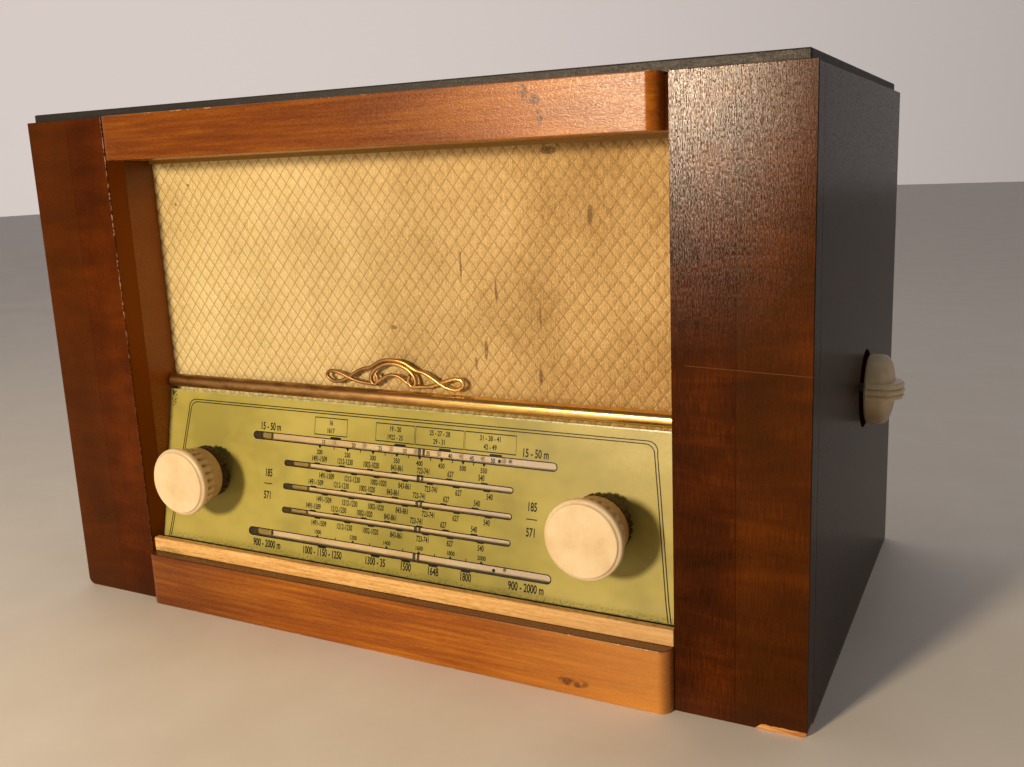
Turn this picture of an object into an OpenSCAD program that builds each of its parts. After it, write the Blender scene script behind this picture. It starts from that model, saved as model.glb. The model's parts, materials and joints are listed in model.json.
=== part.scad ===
// Tabletop valve radio: a veneered wooden cabinet with a tilted glass tuning dial,
// two pairs of concentric control knobs in front and a wave-band knob on its right side.
// Millimetres. X runs to the right seen from the front, Y to the back, Z up.
// The origin is on the resting plane, at mid width, under the front face of the stiles.

/* [Cabinet] */
// Overall width of the cabinet
cabinet_w = 500; // [480:1:540]
// Height of the cabinet without its top panel
cabinet_h = 316; // [310:1:340]
// Depth from the stile fronts to the rear edges
cabinet_d = 282; // [276:1:320]
// Width of each front stile
stile_w = 67; // [60:1:72]
// Thickness of the front stiles
stile_t = 14; // [10:1:16]
// Thickness of the side panels
side_t = 10; // [8:1:12]
// Thickness of the top panel
lid_t = 6; // [4:1:8]
// Distance that the top panel stays in from the cabinet's sides
lid_inset = 3.8; // [0:0.2:8]
// Distance that the top panel stays in from the stile fronts
lid_setback = 3; // [1:1:6]
// Height by which the stiles and the top rail stand above the top panel's underside
front_rise = 1.1; // [0.5:0.1:3]
// Thickness of the base board
base_t = 8; // [6:1:12]
// Height of the base board's underside above the resting plane
base_z = 10; // [8:1:12]

/* [Front rails] */
// Height of the top rail
top_rail_h = 25.5; // [20:0.5:30]
// Height of the bottom rail
bottom_rail_h = 35; // [30:0.5:36]
// Distance that both rails stand proud of the stiles
rail_proud = 7; // [4:0.5:9]
// Radius of the rails' front end edges
rail_end_r = 6.5; // [3:0.5:6.5]
// Gap between the left end of the top rail's proud part and the stile
top_rail_gap_left = 5.4; // [0.2:0.1:6]
// Gap between the right end of the top rail's proud part and the stile
top_rail_gap_right = 2.6; // [0.2:0.1:6]
// Gap between the left end of the bottom rail's proud part and the stile
bottom_rail_gap_left = 1.8; // [0.2:0.1:6]
// Gap between the right end of the bottom rail's proud part and the stile
bottom_rail_gap_right = 0.2; // [0.2:0.1:6]

/* [Grille] */
// Depth of the grille cloth's face behind the stile fronts
cloth_y = 37; // [34:0.5:40]
// Thickness of the grille cloth
cloth_t = 0.8; // [0.5:0.1:1]
// Thickness of the loudspeaker baffle board
baffle_t = 8; // [6:1:8]
// Diameter of the brass trim bar
bar_d = 8.4; // [6:0.2:9]
// Height of the brass trim bar's axis
bar_z = 145.2; // [144:0.2:147]

/* [Dial] */
// Backward tilt of the dial glass in degrees
dial_tilt = 12; // [10:0.5:13]
// Length of the dial glass along its slope
dial_len = 100; // [98:0.5:101]
// Thickness of the dial glass
glass_t = 3; // [2:0.5:3]
// Depth of the lower front edge of the dial glass
dial_y = 10.8; // [10:0.1:12]
// Height of the lower front edge of the dial glass
dial_z = 41.4; // [40:0.1:43]
// Place of the tuning pointer along X
pointer_x = 15; // [0:0.1:30]

/* [Controls] */
// Distance of each front knob's axis from mid width
knob_x = 139; // [136:0.5:140]
// Height of the front knobs' axes
knob_z = 90.4; // [88:0.2:93]
// Radius of the ivory knobs' front cap
cap_r = 21.8; // [18:0.1:23]
// Reach of the ivory knobs' front face ahead of the stile fronts
knob_reach = 13.3; // [10:0.1:15]
// Radius of the control shafts
shaft_r = 3; // [3:0.1:3]
// Radius of the tubes that turn around the control shafts
tube_r = 5; // [4.6:0.1:5]
// Radial running clearance
run_fit = 0.05; // [0.02:0.01:0.08]
// Depth of the band knob's axis
band_y = 160; // [150:1:170]
// Height of the band knob's axis
band_z = 139.5; // [130:0.5:150]

/* [Chassis] */
// Height of the chassis deck's top
deck_z = 62; // [60:1:62]
// Thickness of the chassis sheet
sheet_t = 1.2; // [1:0.1:1.5]

/* [Hidden] */
$fn = 72;
half_w = cabinet_w / 2;
open_x = half_w - stile_w;          // half width of the opening between the stiles
inner_x = half_w - side_t;          // half width between the side panels
skin = 0.2;                         // gap left between boards that are let in
soffit_z = cabinet_h - top_rail_h;  // underside of the top rail
base_top = base_z + base_t;
reveal_t = 8;
lip_y = lid_setback - 0.2;          // back of the front frame's lip ahead of the top panel
frame_y = 52;                       // front of the dial frame
cord_y = 46;                        // plane of the pointer's drive cord
drum_x = 70;
drum_z = 92;
drum_r = 43.3;                      // radius at which the cord lies on the drum
spool_r = 4.5;                      // radius at which the cord lies on the tuning spool
idler_r = 5.5;                      // radius at which the cord lies on the idlers
idler_z = 29.5;
idler_left_x = -115;
idler_right_x = 118;
rod_y = 40;                         // pointer rod
rod_z = 31;
bar_y = cloth_y - bar_d / 2 - 0.1;   // axis of the brass trim bar
speaker_x = 0;
speaker_z = 220;
speaker_y = cloth_y + cloth_t + baffle_t;
chassis_x = 195;
chassis_y0 = 58;
chassis_y1 = 266;
cover_y = 276;
aerial_x = 125;
aerial_y = 200;
aerial_z = 236;
deck_under = deck_z - sheet_t;

wood_dark = "saddlebrown";
wood_warm = "peru";
ivory = "wheat";
bakelite = [0.16, 0.06, 0.05];
steel = "silver";
brass = "goldenrod";

// ---- helpers -------------------------------------------------------------------------

// A box from its lowest to its highest corner.
module span(low, high) {
    translate(low) cube(high - low);
}

// Turns local +Z to run along +Y, starting at depth y.
module along_y(x, y, z) {
    translate([x, y, z]) rotate([-90, 0, 0]) children();
}

// Turns local +Z to run along +X, starting at place x.
module along_x(x, y, z) {
    translate([x, y, z]) rotate([0, 90, 0]) children();
}

// Dial frame of reference: local X across, local Y up the slope, local Z out of the glass.
module on_dial() {
    translate([0, dial_y, dial_z]) rotate([90 - dial_tilt, 0, 0]) children();
}

// Same shape on the left and on the right.
module both_sides() {
    children();
    mirror([1, 0, 0]) children();
}

// A tube between two points of the cord's plane; points are [x, z].
module cord_run(a, b, r) {
    length = norm(b - a);
    turn = atan2(b[0] - a[0], b[1] - a[1]);
    translate([a[0], cord_y, a[1]]) rotate([0, turn, 0]) cylinder(r = r, h = length);
}

// End points of a line tangent to two circles: side is 1 or -1, and cross is 1 for a line
// that stays on one side of both circles and -1 for a line that passes between them.
function tangent(c1, r1, c2, r2, side, cross) =
    let (d = c2 - c1, a = atan2(d[1], d[0]))
    let (b = side * acos((r1 - cross * r2) / norm(d)))
    let (u = [cos(a + b), sin(a + b)])
    [c1 + r1 * u, c2 + cross * r2 * u];

// Outline of a band of width w along a list of points.
function unit(v) = v / norm(v);
function normal_at(p, i) =
    let (d = unit(p[min(i + 1, len(p) - 1)] - p[max(i - 1, 0)]))
    [-d[1], d[0]];
function band(p, w) = concat(
    [for (i = [0 : len(p) - 1]) p[i] + normal_at(p, i) * w / 2],
    [for (i = [len(p) - 1 : -1 : 0]) p[i] - normal_at(p, i) * w / 2]
);

// ---- cabinet -------------------------------------------------------------------------

module side_blank() {
    span([inner_x, stile_t, 0], [half_w, cabinet_d, cabinet_h]);
}

module side_panel_left() color(wood_dark) mirror([1, 0, 0]) side_blank();

// The right panel has a round clearance hole behind the band knob.
module side_panel_right() color(wood_dark) difference() {
    side_blank();
    along_x(inner_x - 1, band_y, band_z) cylinder(r = 23.5, h = side_t + 2);
}

// A stile, with a low lip at its top that stands in front of the top panel's edge.
module stile_blank() {
    span([open_x, 0, 0], [half_w, stile_t, cabinet_h]);
    span([open_x, 0, cabinet_h - 1], [half_w, lip_y, cabinet_h + front_rise]);
}

module front_stile_left() color(wood_dark) mirror([1, 0, 0]) stile_blank();

module front_stile_right() color(wood_dark) stile_blank();

// A front rail: a tongue as wide as the opening behind a proud part that ends short of the
// stiles at x0 and x1. The proud part's front end edges are rounded, and above z1 it stops
// in front of the top panel.
rail_tongue_y = 4;
module rail(x0, x1, z0, z1, rise) {
    r = rail_end_r;
    y = -rail_proud;
    span([skin - open_x, rail_tongue_y, z0], [open_x - skin, stile_t, z1]);
    difference() {
        span([x0, y, z0], [x1, rail_tongue_y + 0.5, z1 + rise]);
        for (end = [[x0, -1], [x1, 1]]) translate([end[0] - end[1] * r, y + r, 0])
            difference() {
                span([min(0, 2 * end[1] * r), -r - 1, z0 - 1],
                     [max(0, 2 * end[1] * r), 0, z1 + rise + 1]);
                translate([0, 0, z0 - 2]) cylinder(r = r, h = z1 - z0 + rise + 4);
            }
        span([x0 - 1, lip_y, z1], [x1 + 1, rail_tongue_y + 1, z1 + 3]);
    }
}

module top_rail() color(wood_warm)
    rail(top_rail_gap_left - open_x, open_x - top_rail_gap_right, soffit_z, cabinet_h,
         front_rise);

module bottom_rail() color(wood_warm)
    rail(bottom_rail_gap_left - open_x, open_x - bottom_rail_gap_right, 0, bottom_rail_h, 0);

module top_panel() color([0.2, 0.12, 0.08])
    span([lid_inset - half_w, lid_setback, cabinet_h],
         [half_w - lid_inset, cabinet_d, cabinet_h + lid_t]);

// Board between the side panels, with bolt holes and ventilation slots.
module base_board() color("tan") difference() {
    span([-inner_x, stile_t, base_z], [inner_x, cover_y, base_top]);
    for (x = [-foot_x, foot_x], f = feet)
        translate([x, f[1], base_z - 1]) cylinder(r = 2.6, h = base_t + 2);
    for (x = [-120 : 30 : 120])
        span([x - 4, 100, base_z - 1], [x + 4, 220, base_top + 1]);
}

// The two boards that line the opening from the stiles back to the cloth.
module side_reveals() color(wood_warm) both_sides()
    span([open_x, stile_t, base_top], [open_x + reveal_t, cloth_y, soffit_z]);

// Board that lines the opening above, with a narrow lip that hides the cloth's upper edge.
module top_reveal() color("burlywood") {
    span([-open_x - reveal_t, stile_t, soffit_z], [open_x + reveal_t, cloth_y, soffit_z + 10]);
    span([skin - open_x, cloth_y - 3, soffit_z - 2.3], [open_x - skin, cloth_y, soffit_z + 1]);
}

// Square battens inside the rear opening, which the rear cover is screwed to.
module rear_battens() color("tan") {
    both_sides()
        span([inner_x - 12, cover_y - 12, base_top], [inner_x, cover_y, cabinet_h]);
    span([13 - inner_x, cover_y - 12, cabinet_h - 12], [inner_x - 13, cover_y, cabinet_h]);
}

// ---- grille --------------------------------------------------------------------------

module baffle_board() color("sandybrown") difference() {
    span([-200, cloth_y + cloth_t, 138], [200, speaker_y, 308]);
    along_y(speaker_x, cloth_y, speaker_z) cylinder(r = 68, h = baffle_t + 2);
}

module grille_cloth() color("khaki")
    span([-200, cloth_y, 136.5], [200, cloth_y + cloth_t, 306]);

// Round brass bar across the opening, with its ends rounded.
module trim_bar() color(brass) {
    r = bar_d / 2;
    length = 2 * (open_x - 1);
    along_x(1 - open_x, bar_y, bar_z) rotate_extrude()
        polygon([[0, 0], [r - 1.6, 0], [r - 0.5, 0.5], [r, 1.6],
                 [r, length - 1.6], [r - 0.5, length - 0.5], [r - 1.6, length], [0, length]]);
}

// Scroll of brass wire over the middle of the trim bar, held by two pins in front of the cloth.
// Points are [x, height above the bar]; the right half is mirrored to the left.
wire_w = 2.4;
strand_over = [[0, 18.8], [4.5, 18.5], [9, 17.3], [13, 15], [16.4, 12.9], [20.3, 12.5],
               [24.2, 11.1], [28.1, 9], [32.1, 6.6], [36, 4.6], [40, 3.3], [43.9, 3.2],
               [47.4, 4.7], [49, 7.2]];
strand_under = [[49.2, 6.6], [47.1, 9.2], [43.1, 9.8], [39.2, 9], [36, 7.8], [30.7, 5.7],
                [26.8, 4.5], [22.5, 3.7], [18, 3.5], [14, 3]];
hook = [[0, 16.6], [5, 16], [10.2, 13.9], [13.4, 11.6], [15.4, 9.2], [16.1, 6.8], [15.6, 4.4],
        [14.6, 3.5]];
curl = [[15.6, 4.4], [13.8, 3.1], [12, 4], [11, 5.8], [11, 8], [12.3, 9.8]];
brow = [[0, 9.6], [2.8, 9.3], [5.4, 8.4], [8, 6.8], [11, 4.6]];
module ornament() color(brass) translate([0, bar_y + wire_w / 2, bar_z + bar_d / 2]) {
    rotate([90, 0, 0]) linear_extrude(wire_w) both_sides()
        for (line = [strand_over, strand_under, hook, curl, brow]) polygon(band(line, wire_w));
    for (x = [-14.4, 14.4]) along_y(x, -1, 3.2)
        cylinder(r = 0.8, h = cloth_y - bar_y - wire_w / 2 + 1);
}

// ---- dial ----------------------------------------------------------------------------

module dial_glass() color([0.72, 0.74, 0.42]) difference() {
    on_dial() span([skin - open_x, 0, -glass_t], [open_x - skin, dial_len, 0]);
    for (x = [-knob_x, knob_x])
        along_y(x, 0, knob_z) cylinder(r = 8, h = frame_y);
}

// Cream plate that shows through the clear slots of the glass.
module scale_plate() color("beige")
    on_dial() span([-125, 6, -10], [125, 92, -9]);

// Strip along the bottom rail, with a sill behind it that the glass rests on.
module dial_fillet() color("burlywood") {
    span([3 - open_x, 0, bottom_rail_h], [open_x - skin, 4.4, bottom_rail_h + 9.2]);
    span([skin - open_x, 3.4, bottom_rail_h], [open_x - skin, dial_y + 3.1, dial_z - 0.7]);
}

// Upright steel frame that carries the controls, the scale plate, the lamps' clips,
// the idlers' studs and the pointer's rod, and that two tabs at the top hold the glass off.
module dial_frame() color(steel) difference() {
    union() {
        span([-168, frame_y, base_top], [168, frame_y + sheet_t, 136.5]);
        for (x = [-97, 102]) span([x, rod_y - 4, 26], [x + 2, frame_y, 36]);
        for (x = [idler_left_x, idler_right_x])
            along_y(x, cord_y - 3.5, idler_z) cylinder(r = 1.5, h = frame_y - cord_y + 3.5);
        for (x = [-90, 119]) {
            on_dial() span([x - 4, 27, -11.2], [x + 4, 36, -10]);
            span([x - 4, 28, 70], [x + 4, frame_y, 71]);
        }
        for (x = lamp_places) along_y(x, frame_y - 7, lamp_z) cylinder(r = 5, h = 7);
        for (x = [-160, 160]) span([x - 5, 33.5, 132], [x + 5, frame_y, 133.2]);
    }
    for (x = [-knob_x, knob_x])
        along_y(x, frame_y - 1, knob_z) cylinder(r = 7, h = 4);
    along_y(drum_x, frame_y - 1, drum_z) cylinder(r = 6, h = 4);
    along_x(-110, rod_y, rod_z) cylinder(r = 1.52, h = 230);
}

module pointer_rod() color(steel)
    along_x(-99, rod_y, rod_z) cylinder(r = 1.5, h = 205);

// ---- chassis and its fixed parts ------------------------------------------------------

// Folded steel tray, open below and at both ends, with four feet bolted to the base board.
foot_x = 175;
feet = [[chassis_y0, 80, 92], [233, 245, chassis_y1]];  // each is [start, bolt, end] along Y
module chassis() color(steel) difference() {
    union() {
        difference() {
            span([-chassis_x, chassis_y0, base_top], [chassis_x, chassis_y1, deck_z]);
            span([-chassis_x - 1, chassis_y0 + sheet_t, base_top - 1],
                 [chassis_x + 1, chassis_y1 - sheet_t, deck_under]);
        }
        for (x = [-foot_x, foot_x], f = feet)
            span([x - 9, f[0], base_top], [x + 9, f[2], base_top + sheet_t]);
    }
    for (x = [-foot_x, foot_x], f = feet)
        translate([x, f[1], base_top - 1]) cylinder(r = 2.6, h = 4);
    for (p = valve_places) translate([p[0], p[1], deck_under - 1]) cylinder(r = 10, h = 4);
    along_y(lead_x, chassis_y1 - 3, lead_z) cylinder(r = 5, h = 6);
    span([-62, chassis_y1 - 3, 30], [22, chassis_y1 + 1, 46]);
}

// Bolts through the base board and the chassis feet, each with its nut.
module chassis_bolts() color(steel)
    for (x = [-foot_x, foot_x], f = feet) translate([x, f[1], 0]) {
        translate([0, 0, base_z - 4]) cylinder(r = 5, h = 4);
        translate([0, 0, base_z - 1]) cylinder(r = 2.4, h = base_t + 6);
        translate([0, 0, base_top + sheet_t]) cylinder(r = 4.6, h = 3.2, $fn = 6);
    }

// Two potentiometers in one can: the tube turns the front one and the shaft the rear one.
module volume_tone_pot() color([0.45, 0.42, 0.38]) difference() {
    union() {
        along_y(-knob_x, frame_y - 6, knob_z) cylinder(r = 6.9, h = 10);
        along_y(-knob_x, frame_y + sheet_t, knob_z) cylinder(r = 13, h = 26);
    }
    along_y(-knob_x, frame_y - 7, knob_z) cylinder(r = tube_r + run_fit, h = 17);
    along_y(-knob_x, frame_y, knob_z) cylinder(r = shaft_r + run_fit, h = 25);
}

module tuning_bushing() color(brass) difference() {
    union() {
        along_y(knob_x, frame_y, knob_z) cylinder(r = 6.9, h = 9);
        along_y(knob_x, frame_y + sheet_t, knob_z) cylinder(r = 9.5, h = 3, $fn = 6);
    }
    along_y(knob_x, frame_y - 1, knob_z) cylinder(r = shaft_r + run_fit, h = 12);
}

// Angle bracket on the deck that the band switch is bolted to.
module switch_bracket() color(steel) difference() {
    union() {
        span([190, 136, deck_z], [191.2, 184, 164]);
        span([172, 136, deck_z], [191, 184, deck_z + sheet_t]);
    }
    along_x(188, band_y, band_z) cylinder(r = 5, h = 5);
}

// Rotary wafer switch: a bushing, an index plate and two wafers on two spacer rods.
module band_switch() color([0.55, 0.4, 0.2]) {
    difference() {
        union() {
            along_x(188, band_y, band_z) cylinder(r = 4.9, h = 12);
            along_x(188, band_y, band_z) cylinder(r = 17, h = 2);
        }
        along_x(186, band_y, band_z) cylinder(r = shaft_r + run_fit, h = 16);
    }
    for (x = [166, 177]) difference() {
        along_x(x, band_y, band_z) cylinder(r = 17, h = 1.6);
        along_x(x - 1, band_y, band_z) cylinder(r = 7, h = 4);
    }
    for (s = [-1, 1]) along_x(164, band_y + s * 13, band_z) cylinder(r = 1.6, h = 25);
}

// Frame of the twin tuning capacitor: a base and two end plates that hold the rotor.
gang_y0 = 62;
gang_y1 = 112;
module gang_frame() color(steel) difference() {
    union() {
        span([drum_x - 27, gang_y0, deck_z], [drum_x + 27, gang_y1, deck_z + 2]);
        for (y = [gang_y0, gang_y1 - 2])
            span([drum_x - 27, y, deck_z], [drum_x + 27, y + 2, drum_z + 12]);
    }
    along_y(drum_x, gang_y0 - 1, drum_z) cylinder(r = shaft_r + run_fit, h = 52);
}

// Fixed plates of the tuning capacitor, on two bars; the rotor's plates pass between them.
plate_pitch = 3;
plate_t = 0.8;
function plate_rows(y0) = [for (i = [0 : 4]) y0 + i * plate_pitch];
fixed_rows = concat(plate_rows(67.5), plate_rows(91.5));
turning_rows = concat(plate_rows(69), plate_rows(93));
module gang_stator() color("lightsteelblue") {
    for (y = fixed_rows) intersection() {
        along_y(drum_x, y, drum_z) difference() {
            cylinder(r = 25, h = plate_t);
            translate([0, 0, -1]) cylinder(r = 6, h = 4);
        }
        span([drum_x - 26, y - 1, drum_z - 26], [drum_x + 26, y + 2, drum_z]);
    }
    for (s = [-1, 1]) span([drum_x + s * 23 - 1, gang_y0 + 2, drum_z - 4],
                           [drum_x + s * 23 + 1, gang_y1 - 2, drum_z - 1]);
}

// Half-round plates on the spindle, with the cord drum on its front end.
module gang_rotor() color("gainsboro") {
    along_y(drum_x, cord_y - 3, drum_z) cylinder(r = shaft_r, h = gang_y1 - cord_y + 4);
    for (y = turning_rows) intersection() {
        along_y(drum_x, y, drum_z) cylinder(r = 20, h = plate_t);
        span([drum_x - 21, y - 1, drum_z], [drum_x + 21, y + 2, drum_z + 21]);
    }
    along_y(drum_x, cord_y - 2.5, drum_z) difference() {
        rotate_extrude() polygon([[2, 0], [drum_r + 2, 0], [drum_r + 2, 1], [drum_r - 0.9, 1.9],
                                  [drum_r - 0.9, 3.1], [drum_r + 2, 4], [drum_r + 2, 5], [2, 5]]);
        for (a = [45 : 90 : 315]) rotate([0, 0, a]) translate([24, 0, -1])
            cylinder(r = 10, h = 7);
    }
}

// Pressed basket with four windows, made of a rim, a ring behind and four tapered arms.
module speaker_basket() color([0.3, 0.32, 0.3]) along_y(speaker_x, speaker_y, speaker_z)
    difference() {
        rotate_extrude() polygon([[70, 0], [80, 0], [80, 1.5], [72, 1.5], [30, 42], [8, 42],
                                  [8, 40.5], [29, 40.5], [70, 1]]);
        for (a = [45 : 90 : 315]) rotate([0, 0, a])
            span([38, -17, 4], [75, 17, 36]);
    }

// Paper cone with its dust cap, inside the basket.
module speaker_cone() color([0.12, 0.11, 0.1]) along_y(speaker_x, speaker_y, speaker_z)
    rotate_extrude() polygon([[0, 20], [8, 22], [14, 26], [60, 3], [69, 1.5], [69, 0.4],
                              [59, 1.6], [14, 23.5], [8, 20.4], [0, 18.6]]);

module speaker_magnet() color([0.25, 0.25, 0.27]) along_y(speaker_x, speaker_y + 42, speaker_z)
    rotate_extrude() polygon([[0, 0], [30, 0], [30, 4], [26, 5], [26, 22], [30, 23],
                              [30, 27], [0, 27]]);

// A transformer: laminated core with its winding showing at both faces.
module transformer(size, wind) {
    span([-size[0] / 2, -size[1] / 2, 0], [size[0] / 2, size[1] / 2, size[2]]);
    span([-wind[0] / 2, -wind[1] / 2, size[2] / 2 - wind[2] / 2],
         [wind[0] / 2, wind[1] / 2, size[2] / 2 + wind[2] / 2]);
}

module output_transformer() color([0.35, 0.33, 0.3])
    translate([-75, 92, deck_z]) transformer([48, 20, 42], [30, 34, 28]);

module mains_transformer() color([0.28, 0.27, 0.26])
    translate([-150, 210, deck_z]) transformer([78, 36, 66], [50, 58, 44]);

// Valves stand in sockets that are let into the deck; each entry is [x, y, glass height].
valve_places = [[-20, 130, 52], [30, 160, 48], [-20, 200, 52], [-80, 150, 60], [-90, 240, 62]];

module valve_sockets() color([0.2, 0.15, 0.1])
    for (p = valve_places) translate([p[0], p[1], deck_z - 6]) difference() {
        union() {
            cylinder(r = 9.8, h = 6);
            translate([0, 0, 6]) cylinder(r = 13, h = 2.5);
        }
        translate([0, 0, 1]) for (a = [0 : 40 : 320]) rotate([0, 0, a])
            translate([6, 0, 0]) cylinder(r = 0.8, h = 9);
    }

module valves() color([0.75, 0.85, 0.85, 0.6])
    for (p = valve_places) translate([p[0], p[1], deck_z + 2.5]) {
        h = p[2];
        rotate_extrude() polygon([[0, 0.2], [10.5, 0.2], [11, 2], [11, h - 10], [9, h - 5],
                                  [4, h - 2], [1.5, h], [0, h]]);
    }

// Screening cans of the intermediate-frequency coils.
module if_cans() color("gainsboro")
    for (p = [[10, 235], [-50, 165]]) translate([p[0], p[1], deck_z])
        difference() {
            span([-14, -14, 0], [14, 14, 58]);
            translate([0, 0, 50]) cylinder(r = 3.5, h = 10);
        }

module filter_capacitor() color("lightsteelblue")
    translate([-60, 215, deck_z]) rotate_extrude()
        polygon([[0, 0], [17, 0], [17.5, 1], [17.5, 66], [16, 68], [0, 68]]);

lamp_places = [-105, 118];
lamp_z = 127;
module dial_lamps() color([1, 0.95, 0.7, 0.7])
    for (x = lamp_places) along_y(x, frame_y - 10.5, lamp_z) cylinder(r = 3.4, h = 3.5);

// The endless cord, as its straight runs between the drum, the spool and the idlers.
module drive_cord() color("ivory") {
    r = 0.5;
    left = [idler_left_x, idler_z];
    right = [idler_right_x, idler_z];
    drum = [drum_x, drum_z];
    spool = [knob_x, knob_z];
    low = tangent(left, idler_r, right, idler_r, -1, 1);
    up = tangent(left, idler_r, drum, drum_r, 1, 1);
    down = tangent(spool, spool_r + 0.9, right, idler_r, -1, -1);
    back = tangent(drum, drum_r, spool, spool_r + 0.9, 1, -1);
    for (run = [low, up, down, back]) cord_run(run[0], run[1], r);
}

// Fixed post of the turning ferrite aerial.
module aerial_post() color(steel) translate([aerial_x, aerial_y, 0]) {
    translate([0, 0, deck_z]) cylinder(r = 12, h = 2);
    translate([0, 0, deck_z]) cylinder(r = 4, h = aerial_z - deck_z - 8);
}

// ---- rear ----------------------------------------------------------------------------

lead_x = -165;
lead_z = 38;
socket_places = [-52, -38, -2, 12];

// Moulded strip with sockets for the aerial, the earth and a record player.
module socket_strip() color(bakelite) difference() {
    union() {
        span([-60, chassis_y1 - 6, 31], [20, chassis_y1 + 2, 45]);
        span([-66, chassis_y1, 27], [26, chassis_y1 + 2, 49]);
    }
    for (x = socket_places) along_y(x, chassis_y1 - 7, 38) cylinder(r = 2.05, h = 10);
}

module voltage_selector() color(bakelite) along_y(110, chassis_y1, 38) difference() {
    union() {
        cylinder(r = 15, h = 4);
        cylinder(r = 7, h = 9);
    }
    translate([0, 0, 7]) span([-1, -5, 0], [1, 5, 3]);
}

// Rubber grommet that a mains lead can pass through.
module lead_grommet() color([0.1, 0.1, 0.1]) along_y(lead_x, chassis_y1 - sheet_t - 2, lead_z)
    rotate_extrude() polygon([[3.5, 0], [7, 0], [7, 1.9], [4.9, 2], [4.9, 3.2], [7, 3.3],
                              [7, 5.2], [3.5, 5.2]]);

// Perforated hardboard cover with windows for the sockets, the selector and the lead.
module rear_cover() color([0.45, 0.3, 0.18]) difference() {
    span([1 - inner_x, cover_y, base_top], [inner_x - 1, cover_y + 3, cabinet_h - 1]);
    for (z = [175 : 15 : 280], x = [-180 : 60 : 180])
        span([x - 22, cover_y - 1, z], [x + 22, cover_y + 4, z + 5]);
    for (z = [90 : 15 : 150], x = [-180, -120, -60])
        span([x - 22, cover_y - 1, z], [x + 22, cover_y + 4, z + 5]);
    span([-64, cover_y - 1, 28], [24, cover_y + 4, 48]);
    along_y(110, cover_y - 1, 38) cylinder(r = 19, h = 5);
    along_y(lead_x, cover_y - 1, lead_z) cylinder(r = 9, h = 5);
    for (p = screw_places) along_y(p[0], cover_y - 1, p[1]) cylinder(r = 2.2, h = 5);
}

screw_places = [[-234, 60], [-234, 180], [-120, 310], [120, 310], [234, 60], [234, 180]];
module cover_screws() color(brass)
    for (p = screw_places) along_y(p[0], cover_y + 3, p[1]) difference() {
        union() {
            cylinder(r = 4, h = 2.2);
            translate([0, 0, -3]) cylinder(r = 1.9, h = 4);
        }
        span([-5, -0.5, 1.2], [5, 0.5, 3]);
    }

// ---- controls ------------------------------------------------------------------------

barrel_r = 20;
knob_len = 22.3;

// Ivory knob: a flat face disc on a broader shoulder, a fluted barrel behind it and a smooth
// collar at the back. Local Z runs from its face to its back.
module ivory_knob() difference() {
    rotate_extrude() polygon([[0, 0], [cap_r - 2.6, 0], [cap_r - 2, 0.6], [cap_r - 1.9, 1.6],
                              [cap_r - 0.9, 1.8], [cap_r, 2.7], [cap_r, 4.4],
                              [cap_r - 1.2, 5.4], [barrel_r, 5.5], [barrel_r - 1, 13.2],
                              [barrel_r - 1.9, 13.6], [barrel_r - 2.6, knob_len],
                              [0, knob_len]]);
    for (a = [0 : 15 : 345]) rotate([0, 0, a]) translate([barrel_r + 0.4, 0, 6])
        cylinder(r = 1.7, h = 7);
    translate([0, 0, 6]) cylinder(r = shaft_r + 0.01, h = knob_len);
}

// Bakelite ring knob that turns around the ivory knob's shaft.
ring_y0 = 9.9;
ring_y1 = 16.9;
module ring_knob() difference() {
    rotate_extrude() polygon([[tube_r + 0.01, 0], [16.2, 0], [17, 0.8], [17, 5.6],
                              [15.8, ring_y1 - ring_y0], [tube_r + 0.01, ring_y1 - ring_y0]]);
    for (a = [0 : 15 : 345]) rotate([0, 0, a]) translate([17.3, 0, -1]) cylinder(r = 0.9, h = 9);
}

// A control's shaft, from inside the ivory knob to depth y1.
module control_shaft(x, y1) along_y(x, 6.5 - knob_reach, knob_z)
    cylinder(r = shaft_r, h = y1 - 6.5 + knob_reach);

module control_tube(x, y1) along_y(x, ring_y0 + 0.5, knob_z) difference() {
    cylinder(r = tube_r, h = y1 - ring_y0 - 0.5);
    translate([0, 0, -1]) cylinder(r = shaft_r + run_fit, h = y1);
}

module volume_knob() color(ivory) along_y(-knob_x, -knob_reach, knob_z) ivory_knob();

module volume_shaft() color(steel) control_shaft(-knob_x, 75);

module tone_ring() color(bakelite) along_y(-knob_x, ring_y0, knob_z) ring_knob();

module tone_tube() color(steel) control_tube(-knob_x, frame_y + 9.5);

module tuning_knob() color(ivory) along_y(knob_x, -knob_reach, knob_z) ivory_knob();

// Tuning spindle with the spool that the cord is wound on.
module tuning_shaft() color(steel) {
    control_shaft(knob_x, 62);
    along_y(knob_x, cord_y - 4, knob_z) rotate_extrude()
        polygon([[2, 0], [6.5, 0], [6.5, 1], [spool_r, 1.6], [spool_r, 6.4 - 1], [6.5, 5.8],
                 [2, 5.8]]);
}

module aerial_ring() color(bakelite) along_y(knob_x, ring_y0, knob_z) ring_knob();

// Tube of the aerial control, with the pulley of its cable.
module aerial_tube() color(steel) {
    control_tube(knob_x, 38);
    along_y(knob_x, 31, knob_z) rotate_extrude()
        polygon([[tube_r - 0.5, 0], [10, 0], [10, 1], [8.6, 1.8], [8.6, 3.2], [10, 4], [10, 5],
                 [tube_r - 0.5, 5]]);
}

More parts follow.
